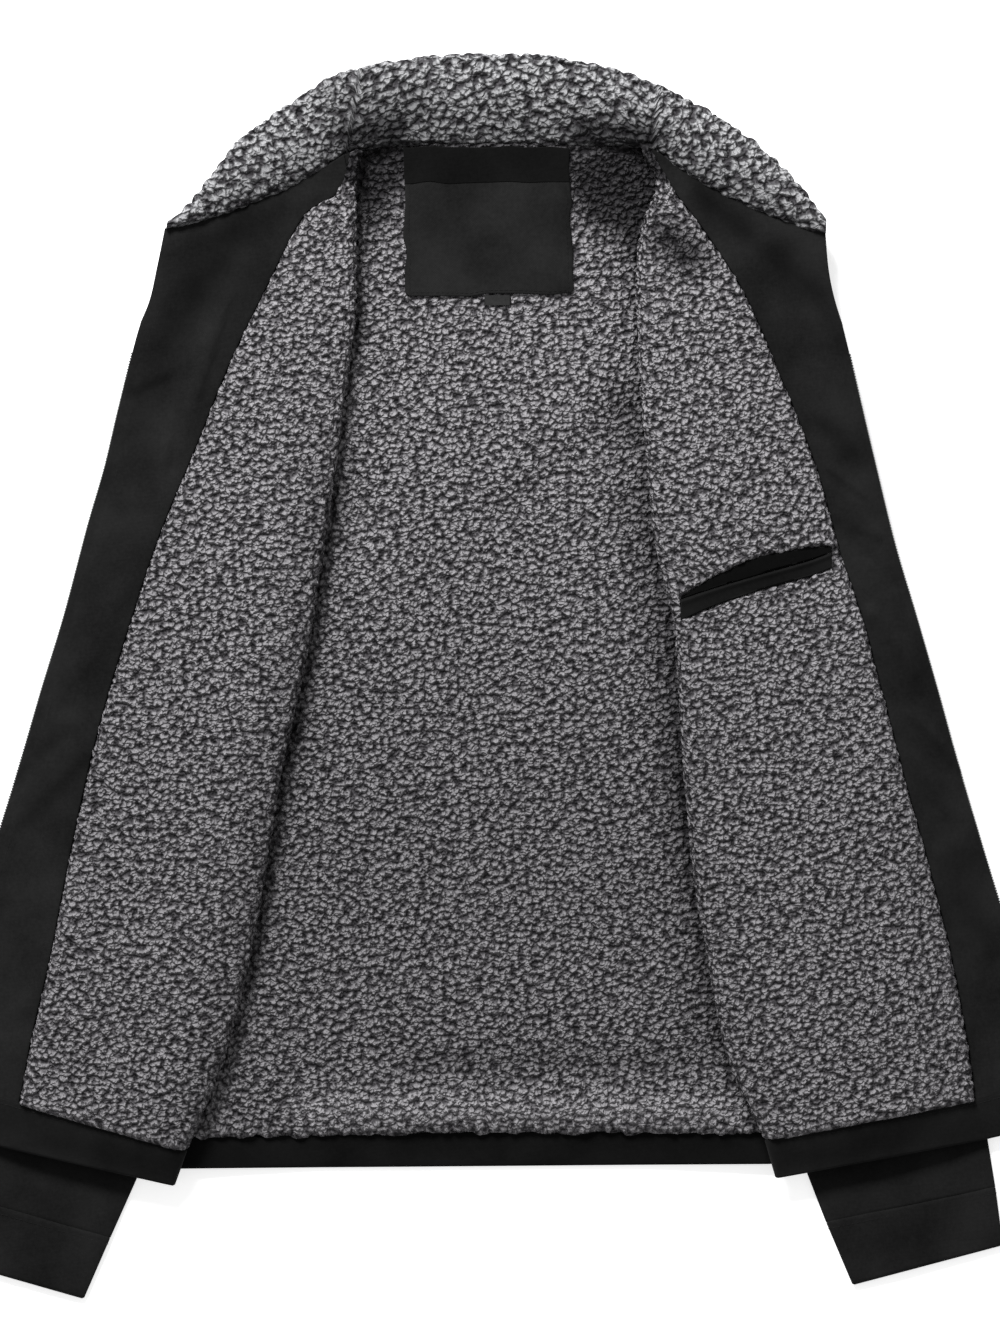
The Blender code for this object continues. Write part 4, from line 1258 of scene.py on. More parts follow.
# Painted shade beside each front's fold, by its sign, and from which height it comes in.
FOLD_DARK = {-1: 0.2, 1: 0.05}
FOLD_DARK_START = 210.0
FOLD_DARK_RAMP = 90.0
# The fronts' share of the painted shade towards the hem.
FRONT_HEM_SHARE = 0.7
# The pocket's mouth: how softly its lips end, how deep it is pressed, how far its lips
# stand up and over what width, and how far it runs on past its last row.
POCKET_LIP = 2.6
POCKET_DEEP = 4.4
POCKET_RISE = 0.8
POCKET_RISE_WIDE = 3.0
POCKET_RUN = 9.0
# A rounded edge of sherpa: its radius, the steps across it, and the least cloth left.
ROUND_EDGE = 4.0
EDGE_STEPS = np.array([4.0, 2.5, 1.3, 0.5, 0.0])
LEAST_SHERPA = 0.8

def in_mouth(x: Array, y: Array) -> Array:
    """How far inside the pocket's mouth a place is, and below 0 how far outside."""
    at = [row.x for row in POCKET_ROWS]
    top = np.interp(x, at, [row.top for row in POCKET_ROWS])
    low = np.interp(x, at, [row.low for row in POCKET_ROWS])
    across = np.minimum(x - at[0], at[-1] + POCKET_RUN - x)
    return np.minimum(np.minimum(top - y, y - low), across)

def pocket_press(x: Array, y: Array) -> Array:
    """How far the pile is pressed flat by the pocket: 1 between its lips, fading round it."""
    return smooth(in_mouth(x, y) / POCKET_LIP + 0.6)

def pocket_lip(x: Array, y: Array) -> Array:
    """How near a place is to the pocket's mouth: 1 on its edges, fading away from it."""
    return np.exp(-(((in_mouth(x, y) + 1.0) / POCKET_RISE_WIDE) ** 2))

@dataclass
class Front:
    """One front turned back on itself: shell, sherpa, facing, band and its half of the zip."""

    side: str
    table: Sequence[Row]
    sign: int
    seed: int
    teeth_row: float
    pile_rows: int = 430
    pile_columns: int = 96
    roll_columns: int = 20
    cloth_rows: int = 170
    facing_rows: int = 240
    facing_columns: int = 26
    groove_in: float = 5.5
    groove_deep: float = 0.35
    groove_wide: float = 1.4
    fold_wide: float = 16.0

    def name(self, piece: str) -> str:
        """A piece's name on this side."""
        return f"{self.side}_{piece}"

    def build(self) -> None:
        """Makes every piece of the front."""
        self.lining()
        self.shell()
        self.facing()
        self.band()
        self.zip()

    def lining(self) -> None:
        """The sherpa, from the side seam round the fold to its border.

        Its outer surface is the folded surface at the sherpa's radius, which drops in a
        quarter circle at the border and at both ends. The pile is pressed flat below.
        """
        at = np.linspace(STRIP_ROW, HEM_ROW, self.pile_rows)
        plan = FrontPlan(self.table, self.sign, at)
        thick = plan.reach_neck()
        wide = np.linalg.norm(plan.border - plan.centre, axis=1)[:, None]
        edge = EDGE_STEPS[None, :] * np.minimum(1.0, wide / 8.0)
        inner = np.linspace(0.0, 1.0, self.pile_columns)[None, :-1]
        share = np.concatenate([inner * (1.0 - edge[:, :1] / wide), 1.0 - edge / wide], axis=1)
        start = plan.border - plan.inward * SEAM / 2
        upper = plan.centre[:, None] + (start - plan.centre)[:, None] * share[..., None]
        down = run_length(upper[:, upper.shape[1] // 2], 0)
        to_end = np.minimum(down, down[-1] - down)[:, None]
        radius = thick[:, None] - drop_at_edge(to_end, ROUND_EDGE)
        fall = drop_at_edge((1.0 - share) * wide, ROUND_EDGE)
        high = plan.upper_height(upper, np.maximum(radius - fall, LINING_IN + LEAST_SHERPA))
        if self.sign > 0:
            place = upper[..., 0], upper[..., 1]
            mouth = pocket_lip(*place)
            high = high - POCKET_DEEP * pocket_press(*place) + POCKET_RISE * mouth
        lower = plan.lower_plan(4, SEAM)
        outer = np.concatenate(
            [
                raised(lower, plan.lower_height(lower, radius)),
                plan.roll(radius, self.roll_columns),
                raised(upper, high),
            ],
            axis=1,
        )
        run = run_length(outer, 1)
        lay = plan.border[:, None] - plan.inward[:, None] * (run[:, -1:] - run)[..., None]
        from_fold = np.exp(-((share * wide / EDGE_PILE) ** 2))
        from_border = np.exp(-(((1.0 - share) * wide / EDGE_PILE) ** 2))
        mask = np.ones(outer.shape[:2])
        turn = np.linspace(-1.0, 1.0, self.roll_columns + 1)[1:-1]
        first = lower.shape[1]
        last = first + len(turn)
        mask[:, :first] = 0.0
        mask[:, first:last] = smooth((turn + 0.9) / 0.4)
        near_edge = np.maximum(from_fold, from_border)
        if self.sign > 0:
            near_edge = np.maximum(near_edge, mouth)
        mask[:, last:] = CALM_PILE + (1.0 - CALM_PILE) * near_edge
        moved, pile = tufted(outer, lay, -self.sign * mask, LINING_PILE, self.seed)
        under = plan.folded(LINING_IN, SEAM, (4, 6, 8, 1))[:, :-2]
        rings = np.concatenate([moved, under[:, ::-1]], axis=1)
        deep = np.concatenate([pile, np.zeros(under.shape[:2])], axis=1)
        # Painted shade: in the front's hollow, beside its fold, towards the hem, and on the neck
        # strip.
        shade = creased(outer[..., 0], outer[..., 1], FRONT_SHADE)
        hidden = np.zeros((len(at), outer.shape[1] - share.shape[1]))
        to_fold = np.concatenate([hidden, share * wide], axis=1)
        below = smooth((FOLD_DARK_START - outer[..., 1]) / FOLD_DARK_RAMP)
        beside = FOLD_DARK[self.sign] * below
        shade = shade + beside * np.exp(-((to_fold / self.fold_wide) ** 2))
        shade = shade + FRONT_HEM_SHARE * hem_shade(outer[..., 1])
        strip = STRIP_SHADE * smooth(STRIP_REACH * plan.neck_share)
        shade = np.clip(shade + strip[:, None], 0.0, MOST_SHADE)
        shade = np.concatenate([shade, np.zeros(under.shape[:2])], axis=1)
        lay = np.concatenate([lay_of(lay), lay_of(under[:, ::-1])], axis=1)
        values = {"pile": deep, "hollow": shade, "lay": lay}
        name = self.name("front_sherpa")
        nodes = [self.name("front_lining")]
        obj = loft(name, rings, SHERPA_FINISH, "sherpa", nodes, moved.shape[1], **values)
        declare(obj, ["back_sherpa"])

    def shell(self) -> None:
        """The canvas of the front, folded over, with its free edge turned down at the side."""
        near_neck = np.linspace(0.0, SHERPA_ROW, 12)[:-1]
        at = np.concatenate([near_neck, np.linspace(SHERPA_ROW, HEM_ROW, self.cloth_rows)])
        plan = FrontPlan(self.table, self.sign, at)
        steps = (8, 10, 14, 10)
        inner = plan.folded(FOLD_IN, 0.0, steps)
        outer = plan.folded(SHELL_OUT, 0.0, steps)
        foot_z = base(inner[:, 0, 0], inner[:, 0, 1]) + LINING_TOP + LAY
        over = inner[:, :1] + raised(plan.out, np.zeros(len(at)))[:, None] * SHELL
        low = [over.copy(), over]
        high = [outer[:, :1].copy(), outer[:, :1].copy()]
        for part in (low[0], high[0]):
            part[..., 2] = foot_z[:, None]
        low = np.concatenate([*low, inner[:, 1:]], axis=1)
        high = np.concatenate([*high, outer[:, 1:]], axis=1)
        nodes = [self.name("front_shell")]
        obj = loft(self.name("front_canvas"), soft_wall(low, high), CANVAS, "canvas", nodes)
        declare(obj, [self.name("front_sherpa")])

    def facing(self) -> None:
        """The facing: soft creases with painted shade, a seam groove near the zip, and a stitched
        line in it.
        """
        at = np.linspace(0.0, HEM_ROW, self.facing_rows)
        plan = FrontPlan(self.table, self.sign, at)
        flat = plan.to_edge(self.facing_columns, SEAM / 2, lap=True)
        x = flat[..., 0]
        y = flat[..., 1]
        low = plan.upper_height(flat, SHELL_OUT + SEAM)
        to_edge = np.linalg.norm(flat[:, -1:] - flat, axis=-1)
        groove = self.groove_deep * np.exp(-(((to_edge - self.groove_in) / self.groove_wide) ** 2))
        puff = 0.35 * blurred_noise(x, y, 22.0, self.seed + 30)
        puff = puff + 0.18 * blurred_noise(x, y, 7.0, self.seed + 31)
        high = low + FACING + puff - groove
        high = np.maximum(high, low + 0.6)
        rings = soft_wall(raised(flat, low), raised(flat, high))
        # Painted shade in the facing's soft folds.
        dark = np.clip(creased(rings[..., 0], rings[..., 1], FACING_SHADE), 0.0, 0.7)
        name = self.name("front_facing_canvas")
        nodes = [self.name("front_facing")]
        obj = loft(name, rings, FACING_CANVAS, "canvas", nodes, hollow=dark)
        declare(obj, [self.name("front_canvas")])
        line = plan.edge - plan.out * (ZIP_MARGIN + self.groove_in)
        height = plan.upper_height(line[:, None], SHELL_OUT + SEAM + FACING)[:, 0]
        height = height - self.groove_deep
        run = raised(line, height)[at > ZIP_TOP_ROW - 1.0]
        sew(self.name("facing_topstitch"), [run])

    def band(self) -> None:
        """The hem band's end on this front, folded with it and sagging to its edge."""
        start = HEM_ROW - BAND_LAP / BAND_LONG
        plan = FrontPlan(self.table, self.sign, np.linspace(start, BAND_ROW, 18))
        plan.seat_band()
        steps = (8, 10, 40, 20)
        inner = plan.folded(FOLD_IN, 0.0, steps)
        outer = plan.folded(BAND_OUT, 0.0, steps)
        upper = outer[:, steps[0] + steps[1] + 1 :]
        upper[..., 2] += 0.5 * blurred_noise(upper[..., 0], upper[..., 1], 16.0, self.seed + 40)
        rings = soft_wall(inner, outer)
        nodes = [self.name("front_band")]
        obj = loft(self.name("front_band_canvas"), rings, PAINTED_LIGHT_BAND_CANVAS, "canvas", nodes)
        declare(obj, [self.name("front_canvas")])
        sew(self.name("front_band_topstitch"), [upper[2, 3:-2] + np.array([0, 0, 0.05])])

    def zip(self) -> None:
        """The zip's tape and teeth along the edge, as separate moulded teeth."""
        at = np.linspace(ZIP_TOP_ROW, self.teeth_row, 900)
        plan = FrontPlan(self.table, self.sign, at)
        sink = at > HEM_ROW
        plan.middle[sink] -= BAND_SAG * smooth(at[sink] - HEM_ROW)
        middle = (ZIP_MARGIN + TEETH_WIDE) / 2
        shares = np.array([ZIP_MARGIN + TAPE_TUCK, middle, TEETH_WIDE - TAPE_TUCK])
        tape = plan.edge[:, None] - plan.out[:, None] * shares[None, :, None]
        tape = tape[::6]
        thin = FrontPlan(self.table, self.sign, at[::6])
        thin.middle = plan.middle[::6]
        ground = thin.upper_height(tape, FOLD_IN) + TAPE_LOW
        rings = soft_wall(raised(tape, ground), raised(tape, ground + TAPE_HIGH))
        loft(self.name("zip_tape_woven"), rings, TAPE, "woven_tape", [self.name("zip_tape")])
        spot = plan.edge - plan.out * (TEETH_WIDE / 2)
        height = plan.upper_height(spot[:, None], FOLD_IN)[:, 0] + TAPE_LOW + TAPE_HIGH / 2
        line = raised(spot, height)
        size = (TEETH_PITCH * 0.62, TEETH_WIDE, TEETH_HIGH)
        points, faces = repeated(line, TEETH_PITCH, size, TOOTH)
        nodes = [self.name("zip_teeth")]
        make_piece(self.name("zip_teeth_moulded"), points, faces, RESIN, "zip_teeth", nodes)


# Painted shade in the facings' soft folds.
FACING_SHADE = [
    Crease(-160, 294, -186, 256, 15, 0.5),
    Crease(-196, 238, -214, 214, 13, 0.36),
    Crease(-230, 184, -208, 194, 3.5, 0.45),
    Crease(-168, 240, -187, 180, 2.0, 0.35),
    Crease(137, 312, 166, 288, 8, 0.5),
    Crease(182, 274, 206, 254, 11, 0.5),
    Crease(216, 244, 228, 215, 9, 0.35),
    Crease(218, 164, 238, 142, 7, 0.35),
    Crease(220, 132, 243, 115, 2.4, 0.35),
    Crease(236, 95, 253, 88, 2.4, 0.3),
    Crease(-262, -50, -300, -88, 9, 0.25),
    Crease(300, -120, 326, -176, 8, 0.25),
]
FACING_CREASES = [
    Crease(-186, 274, -222, 160, 13.0, -3.5),
    Crease(-160, 266, -204, 150, 11.0, 3.8),
    Crease(-194, 200, -206, 132, 3.0, -1.3),
    Crease(-232, 62, -262, 6, 8.0, 2.6),
    Crease(-244, 40, -272, -20, 7.0, -1.9),
    Crease(-262, -50, -304, -92, 6.0, 2.1),
    Crease(-276, -40, -312, -76, 6.0, -1.8),
    Crease(-262, -148, -300, -214, 8.0, 2.4),
    Crease(-316, -150, -330, -214, 6.0, -1.9),
    Crease(196, 272, 214, 214, 12.0, -3.8),
    Crease(168, 262, 226, 150, 11.0, 3.8),
    Crease(212, 150, 250, 92, 6.0, 1.9),
    Crease(226, 96, 262, 60, 5.0, -1.9),
    Crease(250, 40, 276, 4, 6.0, 1.9),
    Crease(276, -26, 306, -58, 4.0, 2.4),
    Crease(268, -60, 300, -98, 6.0, -1.9),
    Crease(294, -116, 322, -176, 7.0, 2.2),
    Crease(306, -150, 344, -214, 7.0, -1.9),
]


class Bead(NamedTuple):
    """A small repeated form: shares of its length, width and height at each corner ring."""

    at: float
    wide: float
    high: float


TOOTH = (Bead(-0.5, 0.8, 0.7), Bead(-0.3, 1.0, 1.0), Bead(0.3, 1.0, 1.0), Bead(0.5, 0.8, 0.7))
STITCH = (
    Bead(-0.5, 0.3, 0.2),
    Bead(-0.3, 0.9, 0.8),
    Bead(0.0, 1.0, 1.0),
    Bead(0.3, 0.9, 0.8),
    Bead(0.5, 0.3, 0.2),
)
BEAD_SIDES = 6


def repeated(
    line: Array, pitch: float, size: tuple[float, float, float], form: Sequence[Bead]
) -> tuple[Array, list]:
    """Copies of a small closed form along a line, an even step apart.

    Args:
        line: Points of the line, in millimetres.
        pitch: Step from one copy to the next.
        size: Length along the line, width across it and height.
        form: The rings of the form.

    Returns:
        The corners, and the faces as lists of corner numbers.
    """
    run = run_length(line, 0)
    at = np.arange(pitch / 2, run[-1], pitch)
    middle = np.stack([np.interp(at, run, line[:, i]) for i in range(3)], axis=1)
    ahead = np.stack([np.interp(at + pitch / 2, run, line[:, i]) for i in range(3)], axis=1)
    along = unit(ahead - middle)
    across = unit(np.cross(along, [0.0, 0.0, 1.0]))
    up = np.cross(across, along)
    turn = np.linspace(0.0, 2 * math.pi, BEAD_SIDES, endpoint=False) + math.pi / BEAD_SIDES
    rings = np.array(form)
    go = np.repeat(rings[:, 0], BEAD_SIDES) * size[0]
    side = np.outer(rings[:, 1], np.cos(turn)).ravel() * size[1] / 2
    rise = np.outer(rings[:, 2], np.sin(turn)).ravel() * size[2] / 2
    points = middle[:, None] + along[:, None] * go[None, :, None]
    points = points + across[:, None] * side[None, :, None] + up[:, None] * rise[None, :, None]
    numbers = np.arange(len(go)).reshape(len(form), BEAD_SIDES)
    quads = grid_faces(np.concatenate([numbers, numbers[:, :1]], axis=1))
    quads = outward(points[0], quads)
    first = numbers[0].tolist()
    last = numbers[-1].tolist()
    shift = (np.arange(len(at)) * len(go))[:, None, None]
    faces = (quads[None] + shift).reshape(-1, 4).tolist()
    for offset in shift.ravel().tolist():
        faces.append([n + offset for n in first[::-1]])
        faces.append([n + offset for n in last])
    return points.reshape(-1, 3), faces


STITCH_PITCH = 3.2
STITCH_SIZE = (2.5, 0.55, 0.5)


def sew(name: str, lines: Sequence[Array]) -> bpy.types.Object:
    """A row of stitches along each line, as one piece of thread."""
    points = []
    faces = []
    for line in lines:
        made, quads = repeated(line, STITCH_PITCH, STITCH_SIZE, STITCH)
        start = sum(len(p) for p in points)
        points.append(made)
        faces += [[n + start for n in face] for face in quads]
    return make_piece(name, np.concatenate(points), faces, THREAD, "canvas", [])


@dataclass
class Back:
    """The back: canvas beneath, sherpa over it, and the hem band."""

    seed: int = 11
    rows: int = 380
    columns: int = 176
    hidden: int = 4
    under_columns: int = 30
    tuck: float = 14.0
    long: float = 620.0
    cloth_rows: int = 90
    cloth_columns: int = 90

    def build(self) -> None:
        """Makes every piece of the back."""
        self.lining()
        self.shell()
        self.band()

    def plan(self, down: Array, share: Array, gap: float, tuck: float = 0.0) -> Array:
        """Plan of the back: columns spread between the side seams, rows from neck to hem.

        Args:
            down: Share of the way from the neck to the hem, one for each row.
            share: -1 at the right side seam to 1 at the left, for each column or place.
            gap: How far inside the side seams it ends.
            tuck: How far it runs on under the collar.

        Returns:
            The grid of plan points.
        """
        share = np.atleast_2d(share)
        first = BACK_SIDES[0]
        top_x = first.middle + first.half * share
        foot_side = side_seam(HEM_SEAM[0].y, -1), side_seam(HEM_SEAM[-1].y, 1)
        foot_x = np.interp(share, (-1.0, 1.0), foot_side)
        top_y = neck_line(top_x) + tuck * smooth((NECK_REACH - np.abs(top_x)) / NECK_FADE)
        y = top_y + (line_y(HEM_SEAM, foot_x) - top_y) * down[:, None]
        right = side_seam(y, -1) + gap
        left = side_seam(y, 1) - gap
        x = right + (left - right) * (share + 1.0) / 2.0
        return np.stack([x, y], axis=-1)

    def lining(self) -> None:
        """The sherpa: fine pile between the fronts' folds, and pressed flat under them.

        The hem edge falls in a quarter circle. Each row's columns crowd between the
        two folds at its height, so that the pile that shows is the finest.
        """
        edge = EDGE_STEPS[:-1] / self.long
        even = np.linspace(0.0, 1.0, self.rows)[:-1] * (1 - edge[0])
        down = np.concatenate([even, 1 - edge[1:], [1.0]])
        y_of = self.plan(down, np.zeros(1), SEAM)[:, 0, 1]
        middle = side_seam(y_of, 0)
        shares = []
        for table, sign in ((RIGHT_ROWS, -1), (LEFT_ROWS, 1)):
            fold = fold_at(y_of, table) + sign * self.tuck
            shares.append((fold - middle) / np.abs(side_seam(y_of, sign) - middle))
        right, left = shares
        t = np.linspace(0.0, 1.0, self.columns)[None, :]
        seen = right[:, None] + (left - right)[:, None] * t
        away = np.linspace(0.0, 1.0, self.hidden, endpoint=False)[None, :]
        before = -1.0 + (right[:, None] + 1.0) * away
        after = 1.0 - (1.0 - left[:, None]) * away[:, ::-1]
        share = np.concatenate([before, seen, after], axis=1)
        x, y = np.moveaxis(self.plan(down, share, SEAM, NECK_TUCK), -1, 0)
        to_hem = (1.0 - down[:, None]) * self.long
        # The neck's hollows are real depth and also painted shade; the folds, the hem and the
        # collar's painted shadow add more.
        hollow = np.minimum(creased(x, y, NECK_HOLLOWS), MOST_HOLLOW)
        beside = smooth(1.0 - np.maximum(fold_at(y, LEFT_ROWS) - x, 0.0) / UNDER_FOLD_WIDE)
        shade = creased(x, y, FOLD_SHADE) + UNDER_FOLD_DARK * beside
        top = base(x, y) + LINING_TOP - drop_at_edge(to_hem, ROUND_EDGE) - HOLLOW_DEEP * hollow
        wave = blurred_noise(x, to_hem, 6.0, self.seed + 7) - 0.4
        y = y + HEM_WAVE * wave * np.exp(-((to_hem / 7.0) ** 2))
        top = top + creased(x, y, BACK_CREASES)
        mask = np.ones(share.shape)
        mask[:, : self.hidden] = 0.0
        mask[:, -self.hidden :] = 0.0
        calm = CALM_PILE + (1.0 - CALM_PILE) * np.exp(-((to_hem / EDGE_PILE) ** 2))
        mask = mask * calm * (1.0 - PATCH_FLAT * patch_press(x, y))
        points = np.stack([x, y, top], axis=-1)
        moved, pile = tufted(points, points, -mask, LINING_PILE, self.seed)
        steps = np.linspace(1.0, -1.0, self.under_columns)[None, :]
        under = self.plan(down, steps, SEAM, NECK_TUCK)
        low = raised(under, base(under[..., 0], under[..., 1]) + LINING_LOW)
        rings = np.concatenate([moved, low], axis=1)
        none = np.zeros(under.shape[:2])
        # The hem's bulge gets painted light through the pile height that the colour reads.
        deep = np.concatenate([pile + creased(x, y, HEM_PAINTED_LIGHT), none], axis=1)
        collar_side = np.maximum((neck_line(x) - y) / NECK_SHADE, 0.0)
        dark = HOLLOW_DARK * hollow + shade + hem_shade(y) + NECK_DARK * np.exp(-(collar_side**2))
        dark = np.concatenate([np.clip(dark, 0.0, MOST_SHADE), none], axis=1)
        lay = lay_of(np.concatenate([points, low], axis=1))
        values = {"pile": deep, "hollow": dark, "lay": lay}
        split = moved.shape[1]
        obj = loft("back_sherpa", rings, SHERPA_FINISH, "sherpa", ["back_lining"], split, **values)
        declare(obj, ["back_canvas"])

    def shell(self) -> None:
        """The canvas under the sherpa, its sides turned up to meet the fronts'."""
        down = np.linspace(0.0, 1.0, self.cloth_rows)
        share = np.linspace(-1.0, 1.0, self.cloth_columns)
        plan = self.plan(down, share, 0.0)
        ground = base(plan[..., 0], plan[..., 1])
        low = raised(plan, ground)
        high = raised(plan, ground + SHELL)
        sides = []
        for column, sign in ((slice(0, 1), -1), (slice(-1, None), 1)):
            foot = low[:, column].copy()
            foot[..., 0] += sign * SHELL
            top = foot.copy()
            inside = high[:, column].copy()
            top[..., 2] = ground[:, column] + LINING_TOP
            inside[..., 2] = top[..., 2]
            sides.append((top, foot, inside))
        (first, first_foot, first_in), (last, last_foot, last_in) = sides
        low = np.concatenate([first, first_foot, low[:, 1:-1], last_foot, last], axis=1)
        high = np.concatenate([first_in, high, last_in], axis=1)
        obj = loft("back_canvas", soft_wall(low, high), CANVAS, "canvas", ["back_shell"])
        declare(obj, ["right_sleeve_canvas", "left_sleeve_canvas"])

    def band(self) -> None:
        """The back's hem band, lapping its seam."""
        seam = self.plan(np.array([1.0]), np.linspace(-1.0, 1.0, 150), 0.0)[0]
        top = seam[:, 1] + BAND_LAP
        share = np.linspace(0.0, 1.0, 16)[:, None]
        y = top + (line_y(HEM_EDGE, seam[:, 0]) - top) * share
        plan = np.stack([np.broadcast_to(seam[:, 0], y.shape), y], axis=-1)
        ground = base(plan[..., 0], plan[..., 1])
        puff = 0.3 * blurred_noise(plan[..., 0], plan[..., 1], 14.0, self.seed + 3)
        rings = soft_wall(raised(plan, ground), raised(plan, ground + BAND + puff))
        obj = loft("back_band_canvas", rings, BAND_CANVAS, "canvas", ["back_band"])
        declare(obj, ["back_canvas"])


# Deeper places by the neck with painted shade in them, and painted shade along the folds; widths in
# millimetres.
NECK_HOLLOWS = [
    Crease(110, 286, 98, 312, 24, 0.9),
    Crease(76, 310, 92, 300, 20, 0.7),
    Crease(-70, 328, -78, 300, 15, 0.85),
    Crease(-84, 280, -86, 220, 8, 0.4),
    Crease(60, 322, 72, 300, 12, 0.3),
]
# The most that the neck's hollows add up to, their depth and their painted shade.
MOST_HOLLOW = 1.1
HOLLOW_DEEP = 2.4
HOLLOW_DARK = 0.8
# The collar's painted shadow on the back, and how far down it reaches.
NECK_DARK = 0.72
NECK_SHADE = 33.0
# How uneven the sherpa's hem edge is, and how flat the patch presses the pile.
HEM_WAVE = 1.3
PATCH_FLAT = 0.9
# How far the sherpa runs on under the collar, and where that ends beside the neck.
NECK_TUCK = 3.5
NECK_REACH = 150.0
NECK_FADE = 40.0
# Painted shade on the back beside and under the wearer's left front's fold, and its width.
UNDER_FOLD_DARK = 0.35
UNDER_FOLD_WIDE = 9.0
# Painted shade along the folds and above the hem's bulge; the entry below 0 paints light on the
# bulge.
FOLD_SHADE = [
    Crease(-86, 240, -96, 160, 9, 0.25),
    Crease(-98, 140, -128, -30, 12, 0.42),
    Crease(-130, -40, -160, -190, 12, 0.36),
    Crease(86, 180, 90, 156, 14, 0.4),
    Crease(92, 118, 112, 34, 15, 0.34),
    Crease(114, 12, 124, -90, 15, 0.34),
    Crease(125, -112, 144, -236, 15, 0.2),
    Crease(-52, -250, 118, -250, 8, 0.24),
    Crease(-120, -281, 160, -281, 11, -0.32),
]
# Painted shade in the hollow on the wearer's left front by the neck.
FRONT_SHADE = [
    Crease(116, 284, 130, 272, 14, 0.85),
]
# Painted light on the hem's bulge, added to the pile height that the colour reads.
HEM_PAINTED_LIGHT = [
    Crease(-120, -280, 160, -280, 9, 1.6),
]
# Painted shade on the collar near its seam, by the neck.
COLLAR_SHADE = [
    Crease(-92, 350, -62, 354, 11, 0.5),
    Crease(62, 354, 102, 350, 11, 0.5),
    Crease(-104, 376, -50, 374, 13, 0.3),
]
# How far the collar's foot reaches into the back's pile.
NECK_BITE = 1.0
# Painted shade along the collar's seam side, and how far across it reaches.
COLLAR_DARK = 0.52
COLLAR_DARK_WIDE = 0.95
BACK_CREASES = [
    Crease(88, 168, 10, 104, 9, -1.6),
    Crease(-60, -250, 140, -250, 10, -1.4),
    Crease(-80, -281, 140, -281, 9, 1.6),
    Crease(30, 60, 70, -40, 24, 0.9),
    Crease(-40, -80, 40, -150, 30, 0.8),
]


def patch_press(x: Array, y: Array) -> Array:
    """How far the neck patch presses the pile: 1 under it, fading just inside its edge."""
    inside = np.minimum(np.minimum(x - PATCH_FOOT[0], PATCH_FOOT[1] - x), y - PATCH_FOOT[2])
    return smooth(inside / 3.0 + 0.3)


